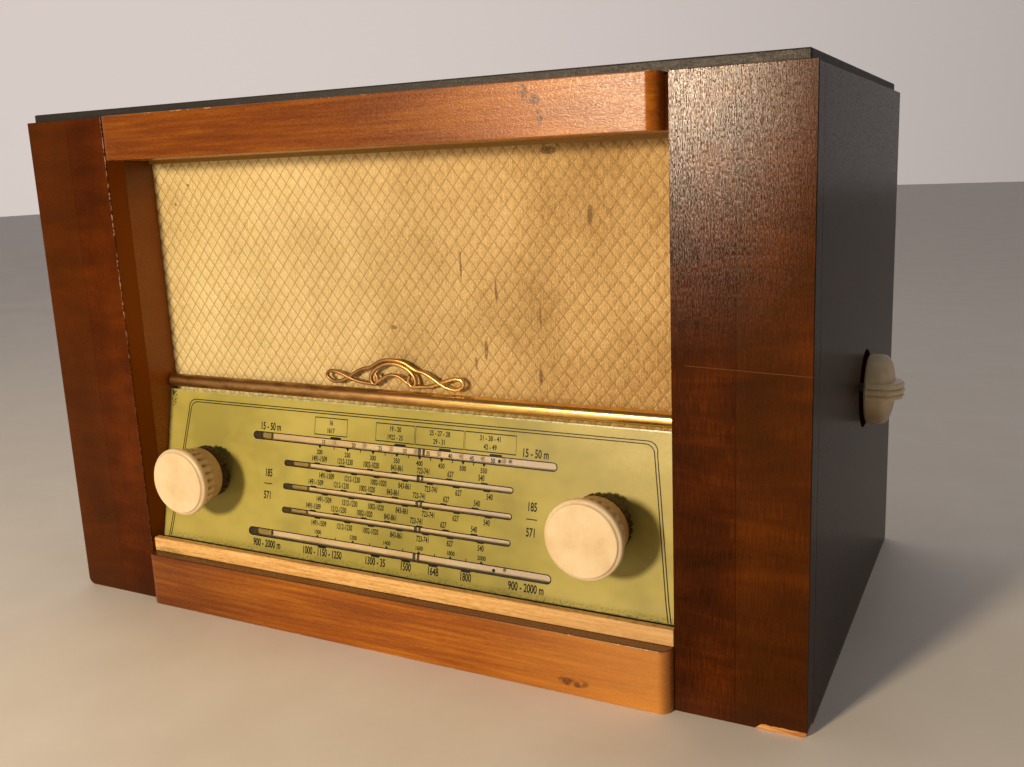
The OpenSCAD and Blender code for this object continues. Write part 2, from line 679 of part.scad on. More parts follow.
// Domed band knob with three ribs that run over its face and around its edge.
module band_knob() color(ivory) difference() {
    union() {
        along_x(half_w, band_y, band_z) rotate_extrude()
            polygon([[0, 1.5], [19.6, 1.5], [20.5, 2.4], [20.6, 10], [20, 11.7], [18, 13.4],
                     [14, 15], [10, 16], [0, 16.8]]);
        intersection() {
            along_x(half_w, band_y, band_z) rotate_extrude()
                polygon([[0, 4], [21.4, 4], [21.8, 5], [21.8, 10], [21.2, 13], [19.6, 15.8],
                         [17, 18], [12, 20.2], [6, 21.4], [0, 21.7]]);
            for (z = [-4.7, 0, 4.7]) span([half_w + 3, band_y - 23, band_z + z - 1.7],
                                          [half_w + 23, band_y + 23, band_z + z + 1.7]);
        }
    }
    along_x(half_w, band_y, band_z) cylinder(r = shaft_r + 0.01, h = 10);
}

// Shaft of the band knob, with the two rotor discs that turn inside the wafers.
module band_shaft() color(steel) {
    along_x(162, band_y, band_z) cylinder(r = shaft_r, h = half_w + 9 - 162);
    for (x = [166, 177]) along_x(x, band_y, band_z) cylinder(r = 6.6, h = 1.6);
}

// Pointer: a blade behind the glass, on a foot and a carriage that slides on the rod.
module pointer() color([0.35, 0.08, 0.12]) difference() {
    union() {
        on_dial() span([pointer_x - 0.7, -5, -6.2], [pointer_x + 0.7, 86, -5]);
        span([pointer_x - 1.5, 15.5, 35], [pointer_x + 1.5, 42, 37]);
        span([pointer_x - 9, 36.5, 27.5], [pointer_x + 9, 43.5, 35.5]);
        span([pointer_x - 4, 43, 25.2], [pointer_x + 4, 48, 29]);
    }
    along_x(pointer_x - 12, rod_y, rod_z) cylinder(r = 1.5 + run_fit, h = 24);
}

// Idler wheel of the cord, on its stud.
module idler(x) along_y(x, cord_y - 2.5, idler_z) rotate_extrude()
    polygon([[1.5 + run_fit, 0], [6.8, 0], [6.8, 0.8], [idler_r - 0.9, 1.9],
             [idler_r - 0.9, 3.1], [6.8, 4.2], [6.8, 5], [1.5 + run_fit, 5]]);

module idler_left() color(brass) idler(idler_left_x);

module idler_right() color(brass) idler(idler_right_x);

// Turning ferrite aerial: a cap on the post, the rod in it and its coil.
module aerial_rotor() color([0.25, 0.25, 0.25]) translate([aerial_x, aerial_y, aerial_z]) {
    difference() {
        translate([0, 0, -20]) cylinder(r = 9, h = 32);
        translate([0, 0, -21]) cylinder(r = 4 + run_fit, h = 14);
    }
    along_x(-65, 0, 0) cylinder(r = 5, h = 130);
    along_x(14, 0, 0) cylinder(r = 7.5, h = 34);
}

// ---- assembly ------------------------------------------------------------------------

side_panel_left();
side_panel_right();
front_stile_left();
front_stile_right();
top_rail();
bottom_rail();
top_panel();
base_board();
side_reveals();
top_reveal();
rear_battens();
baffle_board();
grille_cloth();
trim_bar();
ornament();
dial_glass();
scale_plate();
dial_fillet();
dial_frame();
pointer_rod();
chassis();
chassis_bolts();
volume_tone_pot();
tuning_bushing();
switch_bracket();
band_switch();
gang_frame();
gang_stator();
speaker_basket();
speaker_cone();
speaker_magnet();
output_transformer();
mains_transformer();
valve_sockets();
valves();
if_cans();
filter_capacitor();
dial_lamps();
drive_cord();
aerial_post();
socket_strip();
voltage_selector();
lead_grommet();
rear_cover();
cover_screws();
volume_knob();
volume_shaft();
tone_ring();
tone_tube();
tuning_knob();
tuning_shaft();
aerial_ring();
aerial_tube();
band_knob();
band_shaft();
gang_rotor();
pointer();
idler_left();
idler_right();
aerial_rotor();
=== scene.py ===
import json
import math
import random

import bmesh
import bpy
import numpy as np
from mathutils import Matrix, Vector


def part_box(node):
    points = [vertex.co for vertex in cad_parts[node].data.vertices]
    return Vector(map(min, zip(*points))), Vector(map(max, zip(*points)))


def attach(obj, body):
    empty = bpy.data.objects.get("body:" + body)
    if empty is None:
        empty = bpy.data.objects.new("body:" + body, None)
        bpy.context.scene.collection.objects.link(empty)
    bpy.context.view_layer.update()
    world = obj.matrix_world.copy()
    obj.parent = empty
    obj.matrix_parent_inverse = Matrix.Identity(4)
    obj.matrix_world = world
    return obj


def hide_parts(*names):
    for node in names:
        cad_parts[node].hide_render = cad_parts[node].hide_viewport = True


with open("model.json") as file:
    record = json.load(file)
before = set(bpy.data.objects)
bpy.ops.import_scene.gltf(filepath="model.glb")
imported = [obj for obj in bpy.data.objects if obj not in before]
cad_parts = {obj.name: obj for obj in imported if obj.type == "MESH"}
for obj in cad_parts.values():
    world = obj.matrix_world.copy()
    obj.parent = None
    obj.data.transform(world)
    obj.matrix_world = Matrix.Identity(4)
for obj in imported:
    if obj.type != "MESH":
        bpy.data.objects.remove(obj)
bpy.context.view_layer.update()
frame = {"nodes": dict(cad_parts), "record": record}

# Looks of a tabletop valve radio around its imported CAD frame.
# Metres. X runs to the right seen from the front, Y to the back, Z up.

MM = 0.001
NODES = frame["nodes"]
SLOTS = {s["node"]: s["material_slot"] for s in frame["record"]["subparts"]}
BODY_OF = {n: b for b, ns in frame["record"]["behaviour"]["bodies"].items() for n in ns}


def low(node):
    """Lowest corner of a CAD node, in millimetres."""
    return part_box(node)[0] / MM


def high(node):
    """Highest corner of a CAD node, in millimetres."""
    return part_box(node)[1] / MM


HALF_W = high("side_panel_right").x
TOP = high("front_stile_right").z
OPEN_X = low("front_stile_right").x
RAIL_Y = low("top_rail").y
SOFFIT = low("top_rail").z
LEDGE = high("bottom_rail").z
CLOTH_Y = low("grille_cloth").y
BAR_TOP = high("trim_bar").z
BAR_Y = (low("trim_bar").y + high("trim_bar").y) / 2
KNOB_X = (low("tuning_knob").x + high("tuning_knob").x) / 2
KNOB_Z = (low("tuning_knob").z + high("tuning_knob").z) / 2
KNOB_Y = low("tuning_knob").y


# ---- colours and shader nodes ----------------------------------------------------------


def srgb(code):
    """A linear colour from six hexadecimal digits."""
    parts = [int(code[i : i + 2], 16) / 255 for i in (0, 2, 4)]
    return [p / 12.92 if p < 0.04045 else ((p + 0.055) / 1.055) ** 2.4 for p in parts] + [1]


class Shader:
    """One node material. Values may be numbers or sockets; sizes are in millimetres."""

    def __init__(self, name, **constants):
        self.name = name
        self.mat = bpy.data.materials.new(name)
        self.mat.use_nodes = True
        self.tree = self.mat.node_tree
        self.bsdf = self.tree.nodes["Principled BSDF"]
        self.where = self.make("TexCoord").outputs["Object"]
        for socket, value in constants.items():
            self.bsdf.inputs[socket.replace("_", " ")].default_value = value

    def make(self, kind, **settings):
        node = self.tree.nodes.new("ShaderNode" + kind)
        for key, value in settings.items():
            setattr(node, key, value)
        return node

    def put(self, socket, value):
        if isinstance(value, bpy.types.NodeSocket):
            self.tree.links.new(value, socket)
        else:
            socket.default_value = value

    def calc(self, operation, *values):
        node = self.make("Math", operation=operation)
        for socket, value in zip(node.inputs, values):
            self.put(socket, value)
        return node.outputs[0]

    def axis(self, name):
        """One coordinate in millimetres."""
        if not hasattr(self, "split"):
            self.split = self.make("SeparateXYZ")
            self.put(self.split.inputs[0], self.where)
        return self.calc("MULTIPLY", self.split.outputs[name], 1 / MM)

    def scaled(self, size, turn=(0, 0, 0)):
        node = self.make("Mapping")
        self.put(node.inputs["Vector"], self.where)
        node.inputs["Rotation"].default_value = turn
        node.inputs["Scale"].default_value = [1 / (s * MM) for s in size]
        return node.outputs[0]

    def noise(self, size, detail=2, rough=0.5, distortion=0, turn=(0, 0, 0)):
        """Noise whose features have that size along X, Y and Z."""
        node = self.make("TexNoise")
        self.put(node.inputs["Vector"], self.scaled(size, turn))
        node.inputs["Scale"].default_value = 1
        node.inputs["Detail"].default_value = detail
        node.inputs["Roughness"].default_value = rough
        node.inputs["Distortion"].default_value = distortion
        return node.outputs[0]

    def step(self, value, start, end, low_value=0, high_value=1):
        """A smooth step of value from start to end."""
        node = self.make("MapRange", interpolation_type="SMOOTHSTEP")
        for socket, v in zip(node.inputs, (value, start, end, low_value, high_value)):
            self.put(socket, v)
        return node.outputs[0]

    def near(self, value, place, width):
        """1 where value is at place, falling to 0 at width from it."""
        away = self.calc("ABSOLUTE", self.calc("SUBTRACT", value, place))
        return self.step(away, width, 0)

    def spot(self, a, b, centre, radii):
        """1 inside an ellipse in the coordinates a and b, with a soft edge."""
        da = self.calc("DIVIDE", self.calc("SUBTRACT", a, centre[0]), radii[0])
        db = self.calc("DIVIDE", self.calc("SUBTRACT", b, centre[1]), radii[1])
        away = self.calc("ADD", self.calc("POWER", da, 2), self.calc("POWER", db, 2))
        return self.step(away, 1.3, 0.4)

    def ramp(self, value, *stops):
        """Colours along value; each stop is a place and a colour code."""
        node = self.make("ValToRGB")
        band = node.color_ramp.elements
        while len(band) < len(stops):
            band.new(0.5)
        for element, (place, code) in zip(band, stops):
            element.position = place
            element.color = srgb(code)
        self.put(node.inputs[0], value)
        return node.outputs[0]

    def mix(self, fac, a, b, mode="MIX"):
        node = self.make("Mix", data_type="RGBA", blend_type=mode)
        self.put(node.inputs[0], fac)
        self.put(node.inputs[6], srgb(a) if isinstance(a, str) else a)
        self.put(node.inputs[7], srgb(b) if isinstance(b, str) else b)
        return node.outputs[2]

    def times(self, *values):
        result = values[0]
        for value in values[1:]:
            result = self.calc("MULTIPLY", result, value)
        return result

    def total(self, *values):
        result = values[0]
        for value in values[1:]:
            result = self.calc("ADD", result, value)
        return result

    def bump(self, height, distance, normal=None):
        """Bump whose height of 1 stands distance millimetres high."""
        node = self.make("Bump")
        node.inputs["Strength"].default_value = 1
        node.inputs["Distance"].default_value = distance * MM
        self.put(node.inputs["Height"], height)
        if normal is not None:
            self.put(node.inputs["Normal"], normal)
        return node.outputs[0]

    def done(self, colour, rough=None, normal=None):
        """The finished material, after its name."""
        self.put(self.bsdf.inputs["Base Color"], colour)
        if rough is not None:
            self.put(self.bsdf.inputs["Roughness"], rough)
        if normal is not None:
            self.put(self.bsdf.inputs["Normal"], normal)
        return self.name, self.mat


# ---- materials ---------------------------------------------------------------------------


def dark_veneer():
    """Dark veneer: figure across the boards, pores along them, glossiest up on the right, with
    painted light from the floor low down.
    """
    s = Shader("dark_veneer")
    x, y, z = s.axis("X"), s.axis("Y"), s.axis("Z")
    figure = s.noise((60, 60, 14), detail=4, rough=0.6, distortion=0.5)
    patches = s.noise((35, 50, 80), detail=1)
    pores = s.noise((0.5, 0.5, 12), detail=3, rough=0.7)
    tone = s.total(s.times(figure, 0.35), s.times(patches, 0.3), s.times(pores, 0.4))
    colour = s.ramp(tone, (0.38, "220d01"), (0.52, "421c02"), (0.64, "602c04"),
                    (0.8, "80480c"))
    colour = s.mix(s.step(x, 1, -1, 0, 0.25), colour, "5c2802")
    across = s.calc("ABSOLUTE", x)
    seam_x, break_x = HALF_W - 35.5, HALF_W - 26
    inner = s.step(across, seam_x - 0.5, seam_x + 0.5)
    colour = s.mix(s.times(inner, 0.3), colour, "4c2a08")
    seam = s.times(s.near(across, seam_x, 0.5), s.step(y, 1, 0.5))
    colour = s.mix(s.times(seam, 0.5), colour, "1c0e05")
    cheek = s.times(s.step(across, OPEN_X + 0.6, OPEN_X + 0.1), s.step(y, 0.8, 1.4))
    colour = s.mix(s.times(cheek, 0.85), colour, "864600")
    outer = s.step(across, HALF_W - 0.7, HALF_W - 0.2)
    streaks = s.noise((2, 9, 120), detail=3, rough=0.6)
    flank = s.ramp(streaks, (0.35, "0b0704"), (0.5, "140e08"), (0.68, "20170f"))
    # painted light: the side panel's flank is paler and greyer towards the floor
    flank = s.mix(s.step(z, 150, 20, 0, 0.5), flank, "40332a")
    colour = s.mix(s.times(outer, 0.8), colour, flank)
    chips = s.noise((1.6, 1.6, 3), detail=3, rough=0.8)
    rim = s.times(s.near(across, OPEN_X, 0.55), s.step(y, 0.9, 0.4))
    rim = s.times(rim, s.step(x, 0, -1))
    upper = s.step(z, 130, 210, 0.2, 1)
    worn = s.times(rim, upper, s.step(chips, 0.5, 0.56))
    colour = s.mix(worn, colour, "c9a890")
    ragged = s.times(s.noise((3, 3, 3), detail=2), 1.4)
    below = s.step(s.calc("SUBTRACT", ragged, z), -2.4, -2)
    slanted = s.total(x, s.times(z, -1.2))
    bare = s.times(below, s.step(slanted, break_x, break_x + 0.6))
    bare = s.times(bare, s.step(across, HALF_W + 0.2, HALF_W - 0.4))
    grain = s.noise((14, 4, 1), detail=3)
    colour = s.mix(bare, colour, s.ramp(grain, (0.35, "a86a34"), (0.6, "e6ac6a")))
    # painted reflection of the pale floor, low on the front veneer
    floor_reflection = s.step(z, 22, 3)
    colour = s.mix(s.times(floor_reflection, 0.35, s.calc("SUBTRACT", 1, bare)), colour, "3a241a")
    scratch_z = s.total(s.times(x, -0.035), 188)
    scratch = s.times(s.near(z, scratch_z, 0.3), s.step(x, OPEN_X + 6, OPEN_X + 8))
    colour = s.mix(s.times(scratch, s.step(y, 1, 0.5, 0, 0.4)), colour, "8a5c34")
    specks = s.noise((0.5, 0.5, 1.9), detail=3, rough=0.75)
    rough = s.step(specks, 0.3, 0.7, 0.15, 0.34)
    polish = s.times(s.step(z, 175, 290), s.step(x, HALF_W + 14, OPEN_X),
                     s.step(pores, 0.36, 0.56, 0.35, 1), s.step(x, -1, 1),
                     s.step(specks, 0.41, 0.53))
    s.put(s.bsdf.inputs["Specular IOR Level"], s.calc("MULTIPLY_ADD", polish, 1.45, 0.05))
    height = s.total(s.times(specks, 0.9), s.times(pores, 0.5))
    return s.done(colour, rough, s.bump(height, 0.14))


def warm_wood():
    """Honey-brown wood with grain along X, stained and nicked, with painted shade inside the
    opening and at the rail ends, and painted light and shade along the rails.
    """
    s = Shader("warm_wood", Specular_IOR_Level=0.4)
    x, y, z = s.axis("X"), s.axis("Y"), s.axis("Z")
    grain = s.noise((60, 4, 2.2), detail=5, rough=0.65)
    broad = s.noise((120, 30, 18), detail=2)
    pores = s.noise((5, 0.5, 0.35), detail=2, rough=0.6)
    tone = s.total(s.times(grain, 0.5), s.times(broad, 0.35), s.times(pores, 0.2))
    colour = s.ramp(tone, (0.34, "6a3404"), (0.5, "944f08"), (0.62, "b26c12"),
                    (0.8, "cb902c"))
    lit = s.times(s.step(x, 60, 190), s.step(z, 60, 50))
    colour = s.mix(s.times(lit, 0.45), colour, "e8a654")
    # painted shade: the top rail darker left of its highlight, the bottom rail darker at its
    # left end
    painted_dimming = s.calc("MAXIMUM", s.times(s.step(x, 125, 35), s.step(z, 150, 160)),
                 s.times(s.step(x, -20, -150), s.step(z, 60, 50)))
    colour = s.mix(painted_dimming, colour, "d0cab4", "MULTIPLY")
    front = s.step(y, RAIL_Y + 8, RAIL_Y + 6)
    colour = s.mix(front, s.mix(0.75, colour, "8a4800"), colour)
    across = s.calc("ABSOLUTE", x)
    shade = s.step(z, SOFFIT - 35, SOFFIT - 2, 0, 0.5)
    colour = s.mix(s.times(shade, s.step(y, 12, 14)), colour, "2c0f02")
    lip = s.times(s.step(z, SOFFIT - 5, SOFFIT - 4.6), s.step(y, 12, 14))
    lip = s.times(lip, s.step(across, OPEN_X - 0.2, OPEN_X - 0.6))
    colour = s.mix(s.times(lip, 0.8), colour, "a8803a")
    ledge = s.times(s.step(z, LEDGE - 0.9, LEDGE - 0.2), s.step(z, 60, 50))
    colour = s.mix(s.times(ledge, 0.75), colour, "3a2208")
    drips = s.total(*[s.spot(x, z, (cx, cz), (rx, rz)) for cx, cz, rx, rz in
                      ((113, 312, 3, 4), (118, 308, 4, 3), (121, 301, 2, 6), (129, 8, 9, 3))])
    mottle = s.step(s.noise((4, 4, 4), detail=3, rough=0.7), 0.4, 0.6)
    stain = s.times(drips, mottle, front)
    colour = s.mix(s.calc("MINIMUM", stain, 0.75), colour, "4a1c08")
    nick = s.noise((6, 4, 3), detail=3, rough=0.7)
    edges = s.calc("MAXIMUM", s.near(z, 0, 1), s.near(z, TOP, 0.9))
    colour = s.mix(s.times(edges, s.step(nick, 0.6, 0.64)), colour, "e0b58a")
    # painted shade at both ends of the rails' front faces, beside the stiles
    shaded_ends = s.step(across, OPEN_X - 7, OPEN_X - 1)
    colour = s.mix(s.times(shaded_ends, front, 0.5), colour, "6a2c0c")
    sparkle = s.noise((1.4, 0.6, 0.6), detail=2, rough=0.7)
    rough = s.step(sparkle, 0.3, 0.75, 0.2, 0.34)
    height = s.total(s.times(sparkle, 0.8), s.times(grain, 0.4))
    return s.done(colour, rough, s.bump(height, 0.15))


def maple():
    """Pale wood with flaking old varnish."""
    s = Shader("maple", Coat_Weight=0.15, Coat_Roughness=0.4)
    grain = s.noise((40, 3, 1.6), detail=4, rough=0.6)
    flakes = s.noise((5, 3, 1.2), detail=3, rough=0.75)
    colour = s.ramp(s.total(s.times(grain, 0.55), s.times(flakes, 0.45)),
                    (0.35, "b98848"), (0.5, "e6b66c"), (0.66, "f8d79c"))
    x, z = s.axis("X"), s.axis("Z")
    # painted shade: darker towards the right end
    colour = s.mix(s.step(x, 40, 180, 0, 0.5), colour, "c9a06c")
    mossy = s.times(s.spot(x, z, (-168, 36), (14, 3)), s.step(flakes, 0.42, 0.55))
    colour = s.mix(s.times(mossy, 0.6), colour, "77764a")
    dirt = s.near(z, high("dial_fillet").z, 0.7)
    edge_flecks = s.times(dirt, s.step(flakes, 0.5, 0.6))
    colour = s.mix(s.times(edge_flecks, 0.5), colour, "6a4a26")
    sill = s.step(s.axis("Y"), 4.4, 5)
    colour = s.mix(s.times(sill, 0.85), colour, "2c2412")
    return s.done(colour, s.step(flakes, 0.3, 0.7, 0.35, 0.6), s.bump(flakes, 0.18))


def plywood():
    s = Shader("plywood", Roughness=0.75)
    z = s.axis("Z")
    plies = s.calc("PINGPONG", z, 1.5)
    grain = s.noise((30, 5, 2), detail=4, rough=0.6)
    colour = s.ramp(s.total(s.times(grain, 0.8), s.times(plies, 0.1)),
                    (0.3, "8a6a42"), (0.55, "b39264"), (0.8, "cdb083"))
    return s.done(colour, None, s.bump(grain, 0.15))


def lid_paint():
    """Weathered near-black top board with a coarse open grain."""
    s = Shader("lid_paint")
    grain = s.noise((9, 2.5, 2.5), detail=4, rough=0.7)
    specks = s.noise((0.8, 0.8, 0.8), detail=3, rough=0.7)
    tone = s.total(s.times(grain, 0.5), s.times(specks, 0.5))
    # painted glints: the tone rises towards the right, giving more pale flecks there
    tone = s.total(tone, s.step(s.axis("X"), -100, 240, -0.04, 0.06))
    colour = s.ramp(tone, (0.38, "0c0906"), (0.52, "18130e"), (0.62, "302a22"),
                    (0.74, "948a78"))
    return s.done(colour, s.step(specks, 0.3, 0.7, 0.4, 0.65), s.bump(tone, 0.3))


DIAMOND_W, DIAMOND_H = 8.12, 10.1


def grille_fabric():
    """Golden cloth: ribbed lurex thread, with painted shade in the quilted lines, painted light
    to the left and old stains.
    """
    s = Shader("grille_fabric", Sheen_Weight=0.15, Sheen_Roughness=0.4)
    x, z = s.axis("X"), s.axis("Z")
    a = s.total(s.calc("DIVIDE", x, DIAMOND_W), s.calc("DIVIDE", z, DIAMOND_H))
    b = s.calc("SUBTRACT", s.calc("DIVIDE", x, DIAMOND_W), s.calc("DIVIDE", z, DIAMOND_H))
    seam = s.calc("MINIMUM", s.calc("PINGPONG", a, 0.5), s.calc("PINGPONG", b, 0.5))
    groove_shade = s.step(seam, 0.075, 0.02)
    ribs = s.noise((0.55, 1, 6), detail=3, rough=0.7)
    threads = s.noise((0.5, 1, 0.9), detail=2, rough=0.6)
    aged = s.noise((70, 70, 90), detail=3, rough=0.6)
    tone = s.total(s.times(ribs, 0.35), s.times(threads, 0.35), s.times(aged, 0.3))
    lit_tones = s.ramp(tone, (0.36, "b39a5c"), (0.47, "dac68a"), (0.56, "ecdca6"), (0.7, "fbf0c6"))
    shaded_tones = s.ramp(tone, (0.36, "7d5c26"), (0.47, "b08c4c"), (0.56, "d3b274"), (0.7, "f3dda6"))
    # painted light: paler and yellower to the left, darker and browner to the right
    colour = s.mix(s.step(x, -170, 150), lit_tones, shaded_tones)
    # painted shade in the pressed diamond lines
    colour = s.mix(s.times(groove_shade, 0.6), colour, "7d6226")
    marks = ((127, 251, 1.6, 5.5), (104, 285, 5, 2.2), (69, 210, 0.8, 7), (61, 176, 1.2, 6),
             (95, 163, 1.2, 5), (-1, 187, 2.4, 1.4), (54, 168, 1, 4), (47, 224, 0.7, 9),
             (-154, 274, 1, 1), (-166, 262, 1, 1.2), (96, 196, 0.6, 5))
    stain = s.total(*[s.spot(x, z, (cx, cz), (rx, rz)) for cx, cz, rx, rz in marks])
    stain = s.times(stain, s.step(threads, 0.35, 0.55))
    colour = s.mix(s.calc("MINIMUM", stain, 0.85), colour, "5a360a")
    height = s.total(s.times(ribs, 0.8), s.times(threads, 0.4))
    return s.done(colour, s.step(threads, 0.3, 0.7, 0.42, 0.62), s.bump(height, 0.4))


def brass():
    """Old brass, tarnished brown towards its left end; to the right it is rubbed bright and
    carries a painted highlight.
    """
    s = Shader("brass", Metallic=1)
    x = s.axis("X")
    clouds = s.noise((14, 5, 5), detail=4, rough=0.65)
    fine = s.noise((6, 0.4, 0.4), detail=2)
    # paler to the right: less tarnish there, and a painted highlight of the lamp
    rubbed_and_highlight = s.total(s.step(x, -60, 90, 0, 0.4), s.times(clouds, 0.75))
    colour = s.ramp(rubbed_and_highlight, (0.25, "7c5a34"), (0.5, "bd9560"), (0.75, "eec578"),
                    (1, "ffe69a"))
    rough = s.step(s.total(rubbed_and_highlight, s.times(fine, 0.3)), 0.3, 1.1, 0.5, 0.2)
    return s.done(colour, rough, s.bump(clouds, 0.05))


def dial_glass():
    """Sage-green back-painted glass: even paint under a polished face, with painted shade across
    the middle and along the lower edge.
    """
    s = Shader("dial_glass", Coat_Weight=0.25, Coat_Roughness=0.06, Specular_IOR_Level=0.3)
    x, z = s.axis("X"), s.axis("Z")
    clouds = s.noise((60, 40, 40), detail=3, rough=0.6)
    specks = s.noise((1.6, 1.6, 1.2), detail=3, rough=0.8)
    colour = s.ramp(clouds, (0.35, "a0984a"), (0.5, "b2a854"), (0.7, "c0b664"))
    # painted shade across the middle of the dial
    colour = s.mix(s.near(x, 40, 120), colour, "e4e4c4", "MULTIPLY")
    # painted shade: speckled darkening along the lower edge of the glass
    low_edge = s.step(z, low("dial_glass").z + 6, low("dial_glass").z + 0.5)
    edge_flecks = s.times(low_edge, s.step(specks, 0.48, 0.62))
    colour = s.mix(s.times(edge_flecks, 0.8), colour, "35381c")
    corner = s.spot(x, z, (3 - OPEN_X, high("dial_glass").z - 5), (3.2, 6.5))
    loss = s.times(corner, s.step(specks, 0.5, 0.54))
    colour = s.mix(loss, colour, "14120c")
    return s.done(colour, s.step(specks, 0.3, 0.7, 0.32, 0.45))


def dial_ink():
    s = Shader("dial_ink", Specular_IOR_Level=0.2)
    wear = s.noise((1.2, 1.2, 1.2), detail=3, rough=0.7)
    return s.done(s.ramp(wear, (0.35, "070604"), (0.6, "0f0d07"), (0.78, "2c2a16")),
                  s.step(wear, 0.3, 0.7, 0.3, 0.5))


def cream_paint():
    s = Shader("cream_paint", Coat_Weight=0.3, Coat_Roughness=0.15)
    x = s.axis("X")
    clouds = s.noise((25, 10, 10), detail=3, rough=0.6)
    fade = s.step(x, 20, 60)
    base = s.ramp(clouds, (0.35, "ecd2a0"), (0.55, "fde4b6"), (0.75, "fff2d0"))
    return s.done(s.mix(s.times(fade, 0.6), base, "e0d4d0"),
                  s.step(clouds, 0.3, 0.7, 0.35, 0.55))


def scale_shade():
    """Painted shadow, in brown, at the left ends of the scale strips."""
    s = Shader("scale_shade", Coat_Weight=0.3)
    clouds = s.noise((8, 4, 2), detail=3)
    return s.done(s.ramp(clouds, (0.35, "9c8640"), (0.7, "bda65a")),
                  s.step(clouds, 0.3, 0.7, 0.4, 0.55))


def window_glass():
    """Clear unpainted stretches of the dial glass."""
    s = Shader("window_glass", IOR=1.5, Alpha=0.07)
    smears = s.noise((9, 9, 5), detail=3)
    return s.done(s.ramp(smears, (0.3, "8c8468"), (0.7, "a89e80")),
                  s.step(smears, 0.3, 0.8, 0.03, 0.12))


def glass_edge():
    """Ground edge of the dial glass."""
    s = Shader("glass_edge", Coat_Weight=0.4, Coat_Roughness=0.1)
    chips = s.noise((3, 3, 3), detail=4, rough=0.7)
    return s.done(s.ramp(chips, (0.35, "8e9a66"), (0.6, "b9c190"), (0.75, "dde0b4")),
                  s.step(chips, 0.3, 0.7, 0.15, 0.35), s.bump(chips, 0.1))


def ivory_plastic():
    """Aged ivory plastic: clean faces, stained flutes, tan collars, painted shade low on the
    side knob.
    """
    s = Shader("ivory_plastic", Subsurface_Weight=0.12, Subsurface_Scale=0.004,
               Coat_Weight=0.12, Coat_Roughness=0.3)
    s.bsdf.inputs["Subsurface Radius"].default_value = (1, 0.6, 0.3)
    clouds = s.noise((16, 12, 16), detail=4, rough=0.6)
    dirt = s.noise((1.2, 2.5, 1.2), detail=4, rough=0.75)
    x, y, z = s.axis("X"), s.axis("Y"), s.axis("Z")
    colour = s.ramp(clouds, (0.3, "dac094"), (0.5, "e4d0a8"), (0.75, "ecdcba"))
    off_x = s.calc("SUBTRACT", s.calc("ABSOLUTE", x), KNOB_X)
    off_z = s.calc("SUBTRACT", z, KNOB_Z)
    radius = s.calc("SQRT", s.total(s.calc("POWER", off_x, 2), s.calc("POWER", off_z, 2)))
    barrel = s.times(s.step(radius, 24, 23), s.step(y, KNOB_Y + 5.2, KNOB_Y + 6))
    collar = s.times(barrel, s.step(y, KNOB_Y + 12.5, KNOB_Y + 13.8))
    colour = s.mix(s.times(barrel, 0.35), colour, "c39a62")
    taper = s.times(s.calc("SUBTRACT", y, KNOB_Y + 5.6), 1 / 7.8)
    recess = s.times(barrel, s.step(s.total(radius, taper), 19.85, 19))
    recess = s.times(recess, s.step(y, KNOB_Y + 13, KNOB_Y + 9.5))
    colour = s.mix(s.times(recess, s.step(dirt, 0.3, 0.55, 0.4, 0.9)), colour, "a66c28")
    tan = s.times(collar, s.step(dirt, 0.3, 0.7, 0.4, 0.75))
    colour = s.mix(tan, colour, "b88e5c")
    side_knob = s.step(x, HALF_W - 2, HALF_W)
    middle_z = (low("band_knob").z + high("band_knob").z) / 2
    # painted shade: the side knob darker on its lower half
    lower_shade = s.step(z, middle_z + 4, middle_z - 18)
    colour = s.mix(s.times(side_knob, lower_shade, 0.6), colour, "7a5a34")
    specks = s.step(s.noise((0.7, 0.7, 0.7), detail=3, rough=0.8), 0.69, 0.73)
    colour = s.mix(s.times(specks, 0.4), colour, "9a7244")
    return s.done(colour, s.step(dirt, 0.3, 0.7, 0.36, 0.5), s.bump(dirt, 0.03))


def bakelite():
    """Dark brown moulded bakelite, dull and dusty."""
    s = Shader("bakelite")
    swirl = s.noise((4, 4, 4), detail=5, rough=0.7)
    dust = s.noise((1, 1, 1), detail=3, rough=0.7)
    colour = s.ramp(swirl, (0.3, "1a0806"), (0.5, "30100b"), (0.68, "4c2417"),
                    (0.8, "6d4632"))
    return s.done(colour, s.step(dust, 0.3, 0.7, 0.3, 0.6), s.bump(dust, 0.08))


def metal(name, dark, lit_tones, size, low_rough, high_rough):
    """Plain sheet or turned metal with faint streaks and stains."""
    s = Shader(name, Metallic=1)
    streaks = s.noise(size, detail=3, rough=0.6)
    stains = s.noise((30, 30, 30), detail=4, rough=0.6)
    tone = s.total(s.times(streaks, 0.45), s.times(stains, 0.55))
    return s.done(s.ramp(tone, (0.35, dark), (0.65, lit_tones)),
                  s.step(tone, 0.3, 0.7, high_rough, low_rough), s.bump(streaks, 0.03))


def coat(name, dark, mid, lit_tones, size, low_rough, high_rough, relief=0.05):
    """Paint, paper, board, rubber or thread: three mottled tones over a fine relief."""
    s = Shader(name)
    fine = s.noise(size, detail=4, rough=0.65)
    broad = s.noise([v * 9 for v in size], detail=2)
    tone = s.total(s.times(fine, 0.55), s.times(broad, 0.45))
    return s.done(s.ramp(tone, (0.34, dark), (0.5, mid), (0.68, lit_tones)),
                  s.step(fine, 0.3, 0.7, low_rough, high_rough), s.bump(fine, relief))


